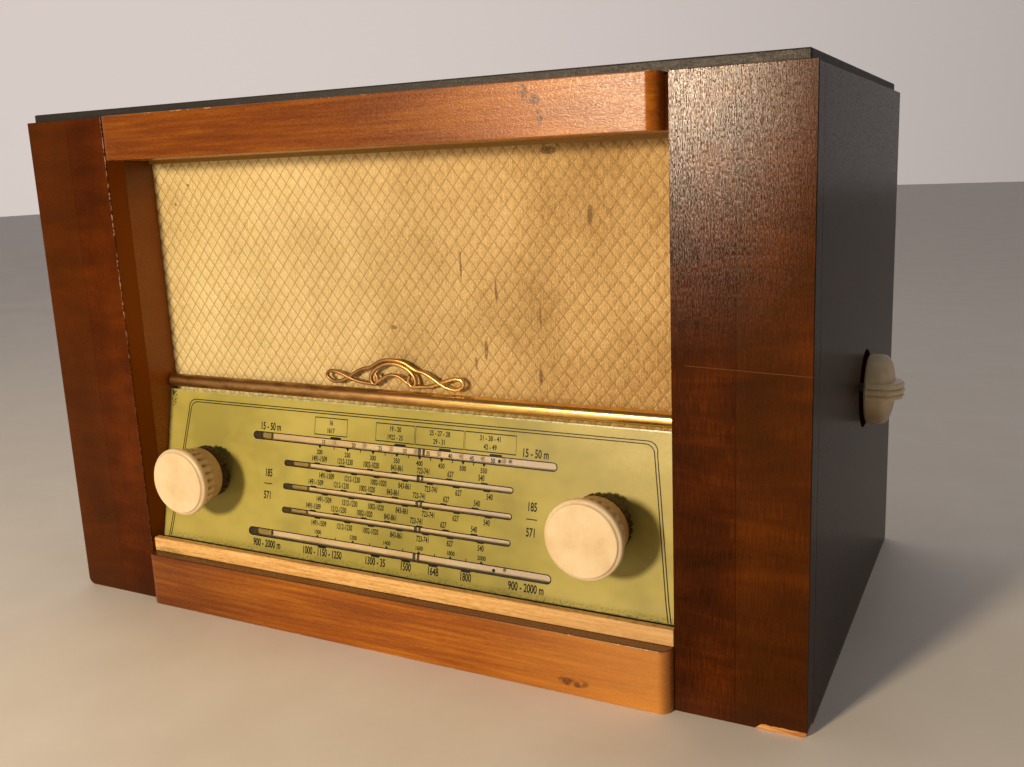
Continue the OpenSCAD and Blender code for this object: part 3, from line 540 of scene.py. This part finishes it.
def clear_glass():
    """Valve and lamp glass, silvered near the top of the bulbs."""
    s = Shader("clear_glass", IOR=1.5, Alpha=0.45, Coat_Weight=0.5, Coat_Roughness=0.03)
    z = s.axis("Z")
    clouds = s.noise((6, 6, 6), detail=2)
    getter = s.step(z, 98, 112)
    colour = s.mix(getter, s.ramp(clouds, (0.3, "8f9a98"), (0.7, "cfd6d2")), "4a4a4c")
    return s.done(colour, s.step(clouds, 0.3, 0.7, 0.04, 0.12))


def core_steel():
    """Varnished transformer: stacked iron sheets around a wound coil."""
    s = Shader("core_steel", Metallic=0.4)
    z = s.axis("Z")
    sheets = s.calc("PINGPONG", z, 0.5)
    stains = s.noise((12, 12, 12), detail=4, rough=0.6)
    tone = s.total(s.times(sheets, 0.5), s.times(stains, 0.6))
    return s.done(s.ramp(tone, (0.25, "171310"), (0.5, "2e2823"), (0.8, "4a4138")),
                  s.step(stains, 0.3, 0.7, 0.35, 0.6), s.bump(sheets, 0.3))


MATERIALS = dict((
    dark_veneer(), warm_wood(), maple(), plywood(), lid_paint(), grille_fabric(), brass(),
    dial_glass(), dial_ink(), cream_paint(), scale_shade(), window_glass(), glass_edge(),
    ivory_plastic(), bakelite(), core_steel(), clear_glass(),
    metal("plated_steel", "77756d", "b9b7ae", (8, 2, 2), 0.28, 0.5),
    metal("aluminium", "9c9ea0", "d5d7d9", (6, 6, 1), 0.25, 0.45),
    coat("phenolic_board", "4a2a0e", "744717", "8f5d24", (2, 2, 0.6), 0.4, 0.6),
    coat("grey_paint", "2b2f2d", "3f4542", "59605c", (1, 1, 1), 0.4, 0.6),
    coat("cone_paper", "14120f", "221f1b", "39342e", (0.8, 0.8, 0.8), 0.8, 0.95, 0.15),
    coat("cord_thread", "8f835f", "b8ab82", "d9cda5", (0.4, 0.2, 0.4), 0.7, 0.9, 0.1),
    coat("rubber", "0b0b0b", "171615", "2b2927", (1, 1, 1), 0.6, 0.85),
    coat("hardboard", "3b2413", "5a3b22", "7d5a39", (1.5, 1.5, 1.5), 0.65, 0.9, 0.2),
    coat("pointer_paint", "12050a", "1e0a12", "301420", (1, 1, 1), 0.35, 0.5),
    coat("ferrite", "131312", "232321", "3b3a37", (1, 1, 1), 0.45, 0.7, 0.1),
))


def dress(obj, name):
    obj.data.materials.clear()
    obj.data.materials.append(MATERIALS[name])


for node_name, node_object in NODES.items():
    dress(node_object, SLOTS[node_name])


# ---- making pieces -------------------------------------------------------------------------


def piece(name, mesh, material, node, replace=True, matrix=None):
    """Adds a mesh as a piece that rides with node's body, and stands for node if replace."""
    obj = bpy.data.objects.new(name, mesh)
    bpy.context.scene.collection.objects.link(obj)
    if matrix is not None:
        mesh.transform(matrix)
    dress(obj, material)
    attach(obj, BODY_OF[node])
    if replace:
        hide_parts(node)
    return obj


def mesh_of(name, points, faces, smooth=True):
    """A mesh from points in millimetres."""
    mesh = bpy.data.meshes.new(name)
    mesh.from_pydata([Vector(p) * MM for p in points], [], faces)
    mesh.validate()
    mesh.update()
    mesh.polygons.foreach_set("use_smooth", [smooth] * len(mesh.polygons))
    return mesh


def grid_faces(rows, columns, closed=False):
    """Quads over rows of points; closed joins the last column to the first."""
    faces = []
    for i in range(rows - 1):
        for j in range(columns if closed else columns - 1):
            k = (j + 1) % columns
            faces.append((i * columns + j, i * columns + k,
                          (i + 1) * columns + k, (i + 1) * columns + j))
    return faces


def add_bevel(obj, width):
    """Rounds the sharp edges of a piece, with even shading across its flats."""
    bevel = obj.modifiers.new("soft_edges", "BEVEL")
    bevel.width = width * MM
    bevel.segments = 2
    bevel.limit_method = "ANGLE"
    bevel.angle_limit = math.radians(35)
    even = obj.modifiers.new("even_normals", "WEIGHTED_NORMAL")
    even.weight = 100
    for polygon in obj.data.polygons:
        polygon.use_smooth = True
    return obj


def eased(node, width, material=None, carve=None):
    """A copy of a CAD node with its edges eased, which stands for the node."""
    work = bmesh.new()
    work.from_mesh(NODES[node].data)
    bmesh.ops.remove_doubles(work, verts=work.verts, dist=0.005 * MM)
    bmesh.ops.dissolve_limit(work, angle_limit=math.radians(2), verts=work.verts,
                             edges=work.edges)
    if carve:
        carve(work)
    mesh = bpy.data.meshes.new(node + "_shape")
    work.to_mesh(mesh)
    work.free()
    obj = piece(node + "_eased", mesh, material or SLOTS[node], node)
    return add_bevel(obj, width)


def lathe(name, profile, steps, shape=None):
    """Turns a profile of (radius, height) pairs about local Z; shape changes each radius."""
    points = []
    for r, h in profile:
        for i in range(steps):
            angle = 2 * math.pi * i / steps
            radius = shape(r, h, angle) if shape else r
            points.append((radius * math.cos(angle), radius * math.sin(angle), h))
    faces = grid_faces(len(profile), steps, closed=True)
    faces.append(tuple(reversed(range(steps))))
    faces.append(tuple(range(len(points) - steps, len(points))))
    return mesh_of(name, points, faces)


def arc(centre, radius, start, end, steps=6):
    """Points of an arc in degrees, as pairs."""
    angles = [math.radians(start + (end - start) * i / steps) for i in range(steps + 1)]
    return [(centre[0] + radius * math.cos(a), centre[1] + radius * math.sin(a))
            for a in angles]


def along_y(x, y, z):
    """Local Z becomes +Y, from a point in millimetres."""
    return Matrix.Translation(Vector((x, y, z)) * MM) @ Matrix.Rotation(-math.pi / 2, 4, "X")


def along_x(x, y, z):
    """Local Z becomes +X, from a point in millimetres."""
    return Matrix.Translation(Vector((x, y, z)) * MM) @ Matrix.Rotation(math.pi / 2, 4, "Y")


def wire(name, points, radius):
    """A round wire along points in millimetres, as a mesh."""
    curve = bpy.data.curves.new(name, "CURVE")
    curve.dimensions = "3D"
    curve.bevel_depth = MM
    curve.bevel_resolution = 4
    curve.resolution_u = 8
    spline = curve.splines.new("NURBS")
    spline.points.add(len(points) - 1)
    for knot, p in zip(spline.points, points):
        knot.co = (*(Vector(p) * MM), 1)
        knot.radius = radius
    spline.use_endpoint_u = True
    spline.order_u = 3
    curve.use_fill_caps = True
    source = bpy.data.objects.new(name + "_curve", curve)
    mesh = bpy.data.meshes.new_from_object(source)
    bpy.data.objects.remove(source)
    mesh.name = name
    mesh.polygons.foreach_set("use_smooth", [True] * len(mesh.polygons))
    return mesh


def joined(name, meshes):
    """One mesh from several."""
    work = bmesh.new()
    for mesh in meshes:
        work.from_mesh(mesh)
    result = bpy.data.meshes.new(name)
    work.to_mesh(result)
    work.free()
    return result


# ---- cabinet -------------------------------------------------------------------------------


def round_corner(side, size):
    """Rounds the bottom outer corner of one stile."""

    def carve(work):
        edges = [e for e in work.edges
                 if all(abs(v.co.x - side * HALF_W * MM) < MM and abs(v.co.z) < MM
                        for v in e.verts)]
        bmesh.ops.bevel(work, geom=edges, offset=size * MM, segments=6, affect="EDGES",
                        profile=0.5)
    return carve


eased("front_stile_left", 0.35, carve=round_corner(-1, 5))
eased("front_stile_right", 0.35, carve=round_corner(1, 3.5))
eased("side_panel_left", 0.25)
eased("side_panel_right", 0.25)
eased("top_rail", 0.8)
eased("bottom_rail", 0.8)
eased("top_panel", 0.9, material="lid_paint")
eased("dial_fillet", 0.7)
eased("side_reveals", 0.3)
eased("rear_cover", 0.3)
eased("mains_transformer", 0.5)
eased("output_transformer", 0.5)
eased("if_cans", 1.2)


# ---- grille --------------------------------------------------------------------------------


def grille():
    """Quilted cloth stretched over the baffle: pressed diamond lines in a fine grid."""
    start, end = low("grille_cloth"), high("grille_cloth")
    pitch = 0.7
    nx = int((end.x - start.x) / pitch)
    nz = int((end.z - start.z) / pitch)
    x = np.linspace(start.x, end.x, nx + 1)
    z = np.linspace(start.z, end.z, nz + 1)
    xx, zz = np.meshgrid(x, z)
    seams = []
    for sign in (1, -1):
        phase = xx / DIAMOND_W + sign * zz / DIAMOND_H
        seams.append(np.abs(phase - np.round(phase)))
    seam = np.minimum(*seams)
    pillow = np.clip(seam / 0.3, 0, 1)
    depth = 0.75 * (1 - np.sin(pillow * np.pi / 2))
    yy = start.y + depth
    front = np.stack([xx, yy, zz], -1).reshape(-1, 3)
    faces = grid_faces(nz + 1, nx + 1)
    cloth = piece("grille_cloth_quilted", mesh_of("grille_cloth_quilted", front, faces),
                  "grille_fabric", "grille_cloth")


def trim_bar():
    """Round bar with softly rounded ends."""
    start, end = low("trim_bar"), high("trim_bar")
    r = (end.z - start.z) / 2
    length = end.x - start.x
    head = [(0.01, 0)] + arc((r - 1.6, 1.6), 1.6, -90, 0)
    body = [(r, length * i / 40) for i in range(1, 40)]
    tail = arc((r - 1.6, length - 1.6), 1.6, 0, 90) + [(0.01, length)]
    mesh = lathe("trim_bar_turned", head + body + tail, 48)
    piece("trim_bar_turned", mesh, "brass", "trim_bar",
          matrix=along_x(start.x, BAR_Y, (start.z + end.z) / 2))


def ornament():
    """Scroll of brass wire: long loops, a double crown that curls in, and a brow arc."""
    over = [(0, 18.8), (4.5, 18.5), (9, 17.3), (13, 15), (16.4, 12.9), (20.3, 12.5),
            (24.2, 11.1), (28.1, 9), (32.1, 6.6), (36, 4.6), (40, 3.3), (43.9, 3.2),
            (47.4, 4.7), (49.2, 7.2), (47.1, 9.4), (43.1, 9.9), (39.2, 9), (36, 7.8),
            (30.7, 5.7), (26.8, 4.5), (22.5, 3.7), (18, 3.5), (14, 3)]
    hook = [(0, 16.6), (5, 16), (10.2, 13.9), (13.4, 11.6), (15.4, 9.2), (16.1, 6.8),
            (15.6, 4.4), (13.8, 3), (12, 4), (11, 5.8), (11, 8), (12.3, 9.8)]
    brow = [(0, 9.6), (2.8, 9.3), (5.4, 8.4), (8, 6.8), (11, 4.6)]
    middle = (low("ornament").y + high("trim_bar").y - 5.5) / 2 + 1
    sideways, pin_x, pin_z = -0.9, 14.4, 3.2
    parts = []
    for name, points, radius, rise in (("over", over, 1.15, 0.25), ("hook", hook, 1.25, 0),
                                       ("brow", brow, 1.1, 0)):
        mirrored = [(-x, z) for x, z in reversed(points[1:])]
        line = [(x + sideways, middle - rise * math.cos(x / 6), BAR_TOP + z)
                for x, z in mirrored + points]
        parts.append(wire(name, line, radius))
    for side in (-1, 1):
        pin = lathe("pin", [(0.8, 0), (0.8, CLOTH_Y - middle)], 12)
        pin.transform(along_y(side * pin_x + sideways, middle, BAR_TOP + pin_z))
        parts.append(pin)
    piece("ornament_scroll", joined("ornament_scroll", parts), "brass", "ornament")


grille()
trim_bar()
ornament()


# ---- dial ----------------------------------------------------------------------------------

DIAL_TILT = math.radians(12)
GLASS_T = 3
DIAL_LOW = Vector((0, low("dial_glass").y, low("dial_glass").z + GLASS_T * math.sin(DIAL_TILT)))
DIAL_TOP = (high("dial_glass").z - DIAL_LOW.z) / math.cos(DIAL_TILT)
ON_DIAL = (Matrix.Translation(DIAL_LOW * MM)
           @ Matrix.Rotation(math.pi / 2 - DIAL_TILT, 4, "X"))
PAINT_W = OPEN_X - 1.2
# Each slot: half width, height up the slope, thickness.
SLOTS_ON_DIAL = ((108, 74.9, 4.4), (81.7, 59.2, 3.1), (81.7, 44.4, 3.1), (81.7, 29.4, 3.1),
                 (108, 12.9, 4.8))


def pill(half, height, centre, grow=0.0, steps=8):
    """Outline of a round-ended slot."""
    r = height / 2 + grow
    run = half - height / 2
    return (arc((run, centre), r, -90, 90, steps) + arc((-run, centre), r, 90, 270, steps))


def flat_shape(name, outlines, depth, thick=0.12):
    """A thin filled plate on the dial; outlines inside others become holes."""
    curve = bpy.data.curves.new(name, "CURVE")
    curve.dimensions = "2D"
    curve.fill_mode = "BOTH"
    curve.extrude = thick / 2 * MM
    for outline in outlines:
        spline = curve.splines.new("POLY")
        spline.points.add(len(outline) - 1)
        for point, (u, v) in zip(spline.points, outline):
            point.co = (u * MM, v * MM, 0, 1)
        spline.use_cyclic_u = True
    source = bpy.data.objects.new(name + "_curve", curve)
    mesh = bpy.data.meshes.new_from_object(source)
    bpy.data.objects.remove(source)
    mesh.transform(Matrix.Translation((0, 0, (depth - thick / 2) * MM)))
    return mesh


def stroke(points, width, closed=False):
    """Outline of a line of that width along points."""
    count = len(points)
    left, right = [], []
    for i, p in enumerate(points):
        before = points[(i - 1) % count] if closed or i else p
        after = points[(i + 1) % count] if closed or i < count - 1 else p
        d = Vector((after[0] - before[0], after[1] - before[1])).normalized()
        side = Vector((-d.y, d.x)) * width / 2
        left.append((p[0] + side.x, p[1] + side.y))
        right.append((p[0] - side.x, p[1] - side.y))
    return [left, right] if closed else [left + right[::-1]]


def ticks_shape(u, edge, way, base, tip, height):
    """A small trapezoid that stands on a slot's edge."""
    return [[(u - base, edge), (u + base, edge), (u + tip, edge + way * height),
             (u - tip, edge + way * height)]]


def rectangle(u0, v0, u1, v1):
    return [(u0, v0), (u1, v0), (u1, v1), (u0, v1)]


def round_hole(u, v, r, steps=40):
    return arc((u, v), r, 0, 360 - 360 / steps, steps - 1)


KNOB_V = (KNOB_Z - DIAL_LOW.z) / math.cos(DIAL_TILT)


def dial_paint():
    """Painted layer with its clear slots and the holes of the controls."""
    field = rectangle(-PAINT_W, 0.6, PAINT_W, DIAL_TOP - 0.8)
    holes = [pill(half, v_size, v) for half, v, v_size in SLOTS_ON_DIAL]
    holes += [round_hole(side * KNOB_X, KNOB_V, 8) for side in (-1, 1)]
    mesh = flat_shape("dial_paint", [field] + holes, 0)
    piece("dial_paint", mesh, "dial_glass", "dial_glass", matrix=ON_DIAL)
    rim = [rectangle(0.2 - OPEN_X, 0, OPEN_X - 0.2, DIAL_TOP),
           rectangle(3 - OPEN_X, 3, OPEN_X - 3, DIAL_TOP - 3)]
    edge = piece("dial_glass_edge", flat_shape("dial_glass_edge", rim, -0.06, GLASS_T),
                 "glass_edge", "dial_glass", matrix=ON_DIAL)
    add_bevel(edge, 0.5)
    panes = [pill(half + 1, v_size + 2, v) for half, v, v_size in SLOTS_ON_DIAL]
    piece("dial_windows", flat_shape("dial_windows", panes, -0.2, 0.3), "window_glass",
          "dial_glass", matrix=ON_DIAL)


dial_paint()


def scale_place(first, last, value):
    """Place along the dial of a wavelength, between linear and logarithmic."""
    (v0, u0), (v1, u1) = first, last
    straight = (value - v0) / (v1 - v0)
    curved = math.log(value / v0) / math.log(v1 / v0)
    return u0 + (u1 - u0) * (straight + curved) / 2


def text_mesh(text, height, squeeze, at):
    """Upright figures, centred at a place on the dial."""
    font = bpy.data.curves.new("figures", "FONT")
    font.body = text
    font.size = height * 1.36 * MM
    font.align_x = "CENTER"
    font.offset = 0.03 * height * MM
    font.extrude = 0.02 * MM
    source = bpy.data.objects.new("figures", font)
    mesh = bpy.data.meshes.new_from_object(source)
    bpy.data.objects.remove(source)
    mesh.transform(Matrix.Translation((at[0] * MM, (at[1] - height / 2) * MM, 0.05 * MM))
                   @ Matrix.Diagonal((squeeze, 1, 1, 1)))
    return mesh


WAVES = (200, -54.6), (550, 62.4)
LONG_WAVES = (1000, -53), (2000, 64)
SHORT_WAVES = (15, -52), (50, 68)


def dial_lines():
    """Border lines, slot outlines, boxes and scale ticks; each shape is a list of outlines."""
    shapes = []
    for inset in (0, 1.6):
        side = [(-177.8 + inset, 0.8), (-176 + inset, 11), (-168.4 + inset, 66),
                (-165.4 + inset, 87)]
        side += arc((-159.9 + inset, 88.6 - inset), 5.5, 180, 90, 6)
        line = side + [(-u, v) for u, v in reversed(side)]
        shapes.append(stroke(line, 0.6))
    for half, v, size in SLOTS_ON_DIAL:
        shapes.append(stroke(pill(half, size, v, 0.1), 0.6, closed=True))
    for u0, u1 in ((-59.3, -34.5), (-13.1, 14.6), (15.4, 48.3), (49.1, 82.3)):
        shapes.append(stroke(rectangle(u0, 79.4, u1, 90), 0.65, closed=True))
        shapes.append(ticks_shape((u0 + u1) / 2 + 4, 77.3, 1, 4.4, 3.6, 1.3))
    for side in (-1, 1):
        shapes.append([rectangle(side * 94.3 - 3.4, 44.3, side * 94.3 + 3.4, 44.9)])
    top = SLOTS_ON_DIAL[0][1] - SLOTS_ON_DIAL[0][2] / 2
    for wave in range(200, 551, 25):
        u = scale_place(*WAVES, wave)
        long = wave % 50 == 0
        shapes.append(ticks_shape(u, top, -1, 1.3 if long else 0.3, 0.25, 1.9))
    bottom = SLOTS_ON_DIAL[4][1] + SLOTS_ON_DIAL[4][2] / 2
    for wave in range(1000, 2001, 100):
        u = scale_place(*LONG_WAVES, wave)
        long = wave % 200 == 0
        shapes.append(ticks_shape(u, bottom, 1, 1.2 if long else 0.3, 0.25, 1.6))
    for v in (SLOTS_ON_DIAL[0][1], SLOTS_ON_DIAL[4][1]):
        shapes.append([round_hole(72.2, v, 1.05, 16)])
    return shapes


# Each row of stations: height, slot, side of the slot (1 above), sideways shift.
STATION_ROWS = ((64.4, 1, 1, 0), (54.2, 1, -1, 6), (49.6, 2, 1, -2), (39.4, 2, -1, 5),
                (34.6, 3, 1, -3), (24.4, 3, -1, 2))
STATIONS = random.Random(4)


def station_row(v, number, way, shift):
    """Kilocycle figures along one side of a slot, with the tick of each on its edge."""
    centre, size = SLOTS_ON_DIAL[number][1:]
    edge = centre + way * size / 2
    figures, ticks = [], []
    for wave in (200, 246, 297, 352, 410, 472, 545):
        u = scale_place(*WAVES, wave) + shift
        low_end = 3 * round(100000 / wave) - 9
        label = f"{low_end}-{low_end + 18}" if wave < 450 else f"{low_end}"
        figures.append(text_mesh(label, 3.5, 0.58, (u, v)))
        ticks.append(ticks_shape(u + STATIONS.uniform(-2.5, 2.5), edge, way, 2.6, 2.0, 1.0))
    return figures, ticks


def dial_print():
    """Everything printed in dark ink, as one piece."""
    shapes, figures = dial_lines(), []
    for wave in range(15, 51, 5):
        place = (scale_place(*SHORT_WAVES, wave), SLOTS_ON_DIAL[0][1])
        figures.append(text_mesh(str(wave), 2.7, 0.78, place))
    for wave in range(200, 551, 50):
        figures.append(text_mesh(str(wave), 3.0, 0.72, (scale_place(*WAVES, wave), 68.6)))
    for wave in range(1000, 2001, 200):
        place = (scale_place(*LONG_WAVES, wave), 18.8)
        figures.append(text_mesh(str(wave), 2.6, 0.78, place))
    for side in (-1, 1):
        figures.append(text_mesh("15 - 50 m", 4.9, 0.64, (side * 94.5, 81.4)))
        figures.append(text_mesh("900 - 2000 m", 4.9, 0.62, (side * 93, 6.4)))
        figures.append(text_mesh("185", 5.1, 0.6, (side * 94.3, 51.8)))
        figures.append(text_mesh("571", 5.1, 0.6, (side * 94.3, 37.5)))
    for u, upper, lower in ((-46.9, "16", "1617"), (0.75, "19 - 20", "1922 - 25"),
                            (31.9, "25 - 27 - 28", "29 - 31"),
                            (65.7, "31 - 38 - 41", "42 - 49")):
        figures.append(text_mesh(upper, 3.1, 0.70, (u, 87.3)))
        figures.append(text_mesh(lower, 3.1, 0.70, (u, 82.4)))
    for row in STATION_ROWS:
        made, ticks = station_row(*row)
        figures += made
        shapes += ticks
    edge = SLOTS_ON_DIAL[4][1] - SLOTS_ON_DIAL[4][2] / 2
    for u, label in ((-49, "1000 - 1150 - 1250"), (-9, "1300 - 35"), (13, "1500"), (32, "1648"),
                     (54, "1800")):
        figures.append(text_mesh(label, 4.8, 0.60, (u, 6.6)))
        shapes.append(ticks_shape(u, edge, -1, 3.6, 2.8, 1.4))
    ink = [flat_shape("ink", shape, 0.09, 0.05) for shape in shapes]
    piece("dial_figures", joined("dial_figures", ink + figures), "dial_ink", "dial_glass",
          replace=False, matrix=ON_DIAL)


def scale_backing():
    """Painted shadow of the paint's edge at the left ends of the scale strips, on the plate
    behind the slots.
    """
    plate = -7.2
    lengths = (8, 13, 13, 13, 12)
    # painted shadow at each slot's left end
    shaded_ends = [rectangle(-half - 1, v - 3, length - half, v + 3)
            for (half, v, _), length in zip(SLOTS_ON_DIAL, lengths)]
    shade = [flat_shape("shade", [end], plate + 0.1, 0.1) for end in shaded_ends]
    piece("scale_painted_shadows", joined("scale_painted_shadows", shade), "scale_shade", "scale_plate",
          replace=False, matrix=ON_DIAL)


dial_print()
scale_backing()


# ---- knobs ---------------------------------------------------------------------------------

FLUTES = 24
BARREL_START, BARREL_END = 5.6, 13.4


def flute(r, h, angle):
    """Rounded lobes around the barrel, fading out at both of its ends."""
    if not BARREL_START < h < BARREL_END:
        return r
    fade = min(1, (h - BARREL_START) / 0.5, (BARREL_END - h) / 0.9)
    lobe = abs(math.cos(FLUTES * angle / 2)) ** 0.8
    return r - 1.5 * fade * (1 - lobe)


def ivory_knob(name, node, x, spin):
    """Flat face disc on a broader shoulder, a fluted barrel and a smooth collar behind."""
    cap_r = (high(node).x - low(node).x) / 2
    depth = high(node).y - low(node).y
    profile = [(0.01, 0.12), (8, 0.1), (14, 0.03)] + arc((cap_r - 2.8, 0.8), 0.8, -90, -25, 5)
    profile += [(cap_r - 1.8, 1.05)] + arc((cap_r - 1.8, 3.1), 1.8, -72, 0, 7)
    profile += arc((cap_r - 1.2, 4.2), 1.2, 0, 80, 5) + [(20.0, 5.5)]
    profile += [(20 - t, 5.6 + 7.8 * t) for t in (i / 14 for i in range(15))]
    profile += [(18.3, 13.6), (18.0, 14.6), (17.5, depth - 0.8), (17.0, depth), (3.1, depth)]
    mesh = lathe(name, profile, FLUTES * 12, flute)
    matrix = along_y(x, KNOB_Y, KNOB_Z) @ Matrix.Rotation(math.radians(spin), 4, "Z")
    piece(name, mesh, "ivory_plastic", node, matrix=matrix)


def notched(chipped):
    """Small notches around the rim of the ring, and a broken piece if chipped."""

    def shape(r, h, angle):
        if r < 15:
            return r
        cut = 0.5 + 0.5 * math.cos(24 * angle)
        r -= 0.7 * min(1, max(0, (cut - 0.55) * 6)) * min(1, max(0, r - 15))
        from_chip = abs((math.degrees(angle) - 346 + 180) % 360 - 180)
        if chipped and from_chip < 9:
            r -= 2.4 * min(1, (9 - from_chip) / 2.5)
        return r
    return shape


def bakelite_ring(name, node, x, chipped):
    start, end = low(node), high(node)
    r = (end.x - start.x) / 2
    depth = end.y - start.y
    profile = [(5.2, 0.2), (12, 0.1), (15.4, 0)] + arc((r - 0.8, 0.8), 0.8, -90, 0, 4)
    profile += [(r, depth * 0.4), (r, depth - 1.8)] + arc((r - 1.5, depth - 1.5), 1.5, 0, 90, 4)
    profile += [(12, depth), (5.2, depth)]
    piece(name, lathe(name, profile, 24 * 12, notched(chipped)), "bakelite", node,
          matrix=along_y(x, start.y, KNOB_Z))


ivory_knob("volume_knob_turned", "volume_knob", -KNOB_X, 4)
ivory_knob("tuning_knob_turned", "tuning_knob", KNOB_X, 11)
bakelite_ring("tone_ring_turned", "tone_ring", -KNOB_X, True)
bakelite_ring("aerial_ring_turned", "aerial_ring", KNOB_X, False)


def dome_reach(r, outline):
    """Reach of a dome's surface at a radius, along an outline of (radius, reach) pairs."""
    for (r0, h0), (r1, h1) in zip(outline, outline[1:]):
        if r1 <= r <= r0:
            t = (r0 - r) / (r0 - r1) if r0 > r1 else 0
            return h0 + (h1 - h0) * t
    return outline[-1][1]


def rib_mesh(crest, rib_z, half, lowered):
    """A rounded rib along a crest of (radius, reach) pairs, at a height beside the axis."""
    section = [(-1, -8), (-1, -0.9), (-0.93, -0.4), (-0.7, -0.12), (-0.35, -0.02), (0, 0),
               (0.35, -0.02), (0.7, -0.12), (0.93, -0.4), (1, -0.9), (1, -8)]
    side = [(math.sqrt(r * r - rib_z * rib_z), h) for r, h in crest if r > abs(rib_z) + 0.2]
    side.append((0, dome_reach(abs(rib_z), crest)))
    fine = [(a[0] + (b[0] - a[0]) * k / 4, a[1] + (b[1] - a[1]) * k / 4)
            for a, b in zip(side, side[1:]) for k in range(4)]
    line = fine + [side[-1]] + [(-run, h) for run, h in reversed(fine)]
    points = []
    for i, (run, h) in enumerate(line):
        before, after = line[max(i - 1, 0)], line[min(i + 1, len(line) - 1)]
        d = Vector((after[0] - before[0], after[1] - before[1])).normalized()
        for u, sink in section:
            points.append((h - d.x * (sink - lowered), run + d.y * (sink - lowered),
                           rib_z + half * u))
    count = len(section)
    faces = grid_faces(len(line), count)
    faces.append(tuple(range(count)))
    faces.append(tuple(reversed(range(len(points) - count, len(points)))))
    return mesh_of("rib", points, faces)


def band_knob():
    """Domed knob on the side, with three rounded ribs that wrap around its edge."""
    start, end = low("band_knob"), high("band_knob")
    centre_y, centre_z = (start.y + end.y) / 2, (start.z + end.z) / 2
    body = [(3.2, 0.1), (19.4, 0), (20.2, 0.4), (20.5, 1.2), (20.6, 4), (20.6, 8.4), (20, 10.4),
            (18.6, 11.8), (16.4, 12.9), (13.4, 13.8), (10, 14.5), (5, 15.1), (0.01, 15.3)]
    dome = lathe("dome", body, 96)
    dome.transform(along_x(start.x, centre_y, centre_z))
    top = end.x - start.x
    crest = [(21.8, 1.6), (22, 4.5), (21.95, 8.5), (21.5, 11.4), (20.5, 13.7), (18.9, 15.6),
             (16.2, 17.3), (12, 18.9), (6, 20.3), (0, top)]
    ribs = []
    for rib_z, half, lowered in ((3.3, 1.75, 0.4), (0, 1.25, 0), (-3.3, 1.25, 0.4),
                                 (0.2, 4.5, 1.3)):
        ribs.append(rib_mesh(crest, rib_z, half, lowered))
    for rib in ribs:
        rib.transform(Matrix.Rotation(math.radians(-6), 4, "X"))
        rib.transform(Matrix.Translation(Vector((start.x, centre_y, centre_z)) * MM))
    parts = [dome] + ribs
    work = joined("band_knob_moulded", parts)
    piece("band_knob_moulded", work, "ivory_plastic", "band_knob")


band_knob()


# ---- floor, light and camera ------------------------------------------------------------------


def studio():
    """Pale floor, a warm lamp in front on the left and a soft cool fill."""
    floor = mesh_of("floor", [(-9000, -9000, 0), (9000, -9000, 0), (9000, 9000, 0),
                              (-9000, 9000, 0)], [(0, 1, 2, 3)], smooth=False)
    ground = bpy.data.objects.new("floor", floor)
    bpy.context.scene.collection.objects.link(ground)
    s = Shader("floor_paint")
    clouds = s.noise((90, 90, 90), detail=3)
    paint = s.done(s.ramp(clouds, (0.3, "ebe5d8"), (0.7, "f4f0e6")),
                   s.step(clouds, 0.3, 0.7, 0.5, 0.7))[1]
    floor.materials.append(paint)

    bpy.context.scene.view_settings.view_transform = "Standard"
    world = bpy.data.worlds.new("studio")
    bpy.context.scene.world = world
    world.use_nodes = True
    tree = world.node_tree
    toward = tree.nodes.new("ShaderNodeVectorMath")
    toward.operation = "DOT_PRODUCT"
    toward.inputs[1].default_value = (-0.75, 0.65, 0.1)
    tree.links.new(tree.nodes.new("ShaderNodeTexCoord").outputs["Generated"],
                   toward.inputs[0])
    ramp = tree.nodes.new("ShaderNodeValToRGB")
    for element, (place, code) in zip(ramp.color_ramp.elements,
                                      ((0.1, "4c494e"), (1, "dcd0ca"))):
        element.position = place
        element.color = srgb(code)
    tree.links.new(toward.outputs["Value"], ramp.inputs[0])
    sky = tree.nodes["Background"]
    tree.links.new(ramp.outputs[0], sky.inputs["Color"])
    sky.inputs["Strength"].default_value = 0.95

    def lamp(name, place, aim, size, watts, code):
        data = bpy.data.lights.new(name, "AREA")
        data.shape = "DISK"
        data.size = size
        data.energy = watts
        data.color = srgb(code)[:3]
        obj = bpy.data.objects.new(name, data)
        bpy.context.scene.collection.objects.link(obj)
        obj.location = place
        away = Vector(aim) - Vector(place)
        obj.rotation_euler = away.to_track_quat("-Z", "Y").to_euler()

    lamp("key", (-0.28, -1.32, 0.49), (0, 0, 0.15), 0.2, 19, "ffe4c0")
    lamp("fill", (1.5, -0.4, 1.6), (0, 0, 0.15), 1.2, 3, "e6dcd4")
    lamp("top", (0, 0.4, 2.2), (0, 0.1, 0.2), 1.5, 4, "f2e8e0")


def camera():
    """The photograph's place, aim and slight roll."""
    data = bpy.data.cameras.new("camera")
    data.lens = 34.66
    data.sensor_width = 36
    data.shift_x = -0.019
    data.shift_y = -0.0141
    data.clip_start = 0.01
    obj = bpy.data.objects.new("camera", data)
    bpy.context.scene.collection.objects.link(obj)
    place = Vector((0.3332, -0.4415, 0.2763))
    ahead = Vector((-0.4449, 0.8730, -0.1999)).normalized()
    side = ahead.cross(Vector((0, 0, 1))).normalized()
    above = side.cross(ahead)
    roll = math.radians(2.29)
    right = side * math.cos(roll) - above * math.sin(roll)
    up = above * math.cos(roll) + side * math.sin(roll)
    obj.matrix_world = Matrix((
        (right.x, up.x, -ahead.x, place.x),
        (right.y, up.y, -ahead.y, place.y),
        (right.z, up.z, -ahead.z, place.z),
        (0, 0, 0, 1)))
    bpy.context.scene.camera = obj


studio()
camera()
bpy.context.view_layer.update()
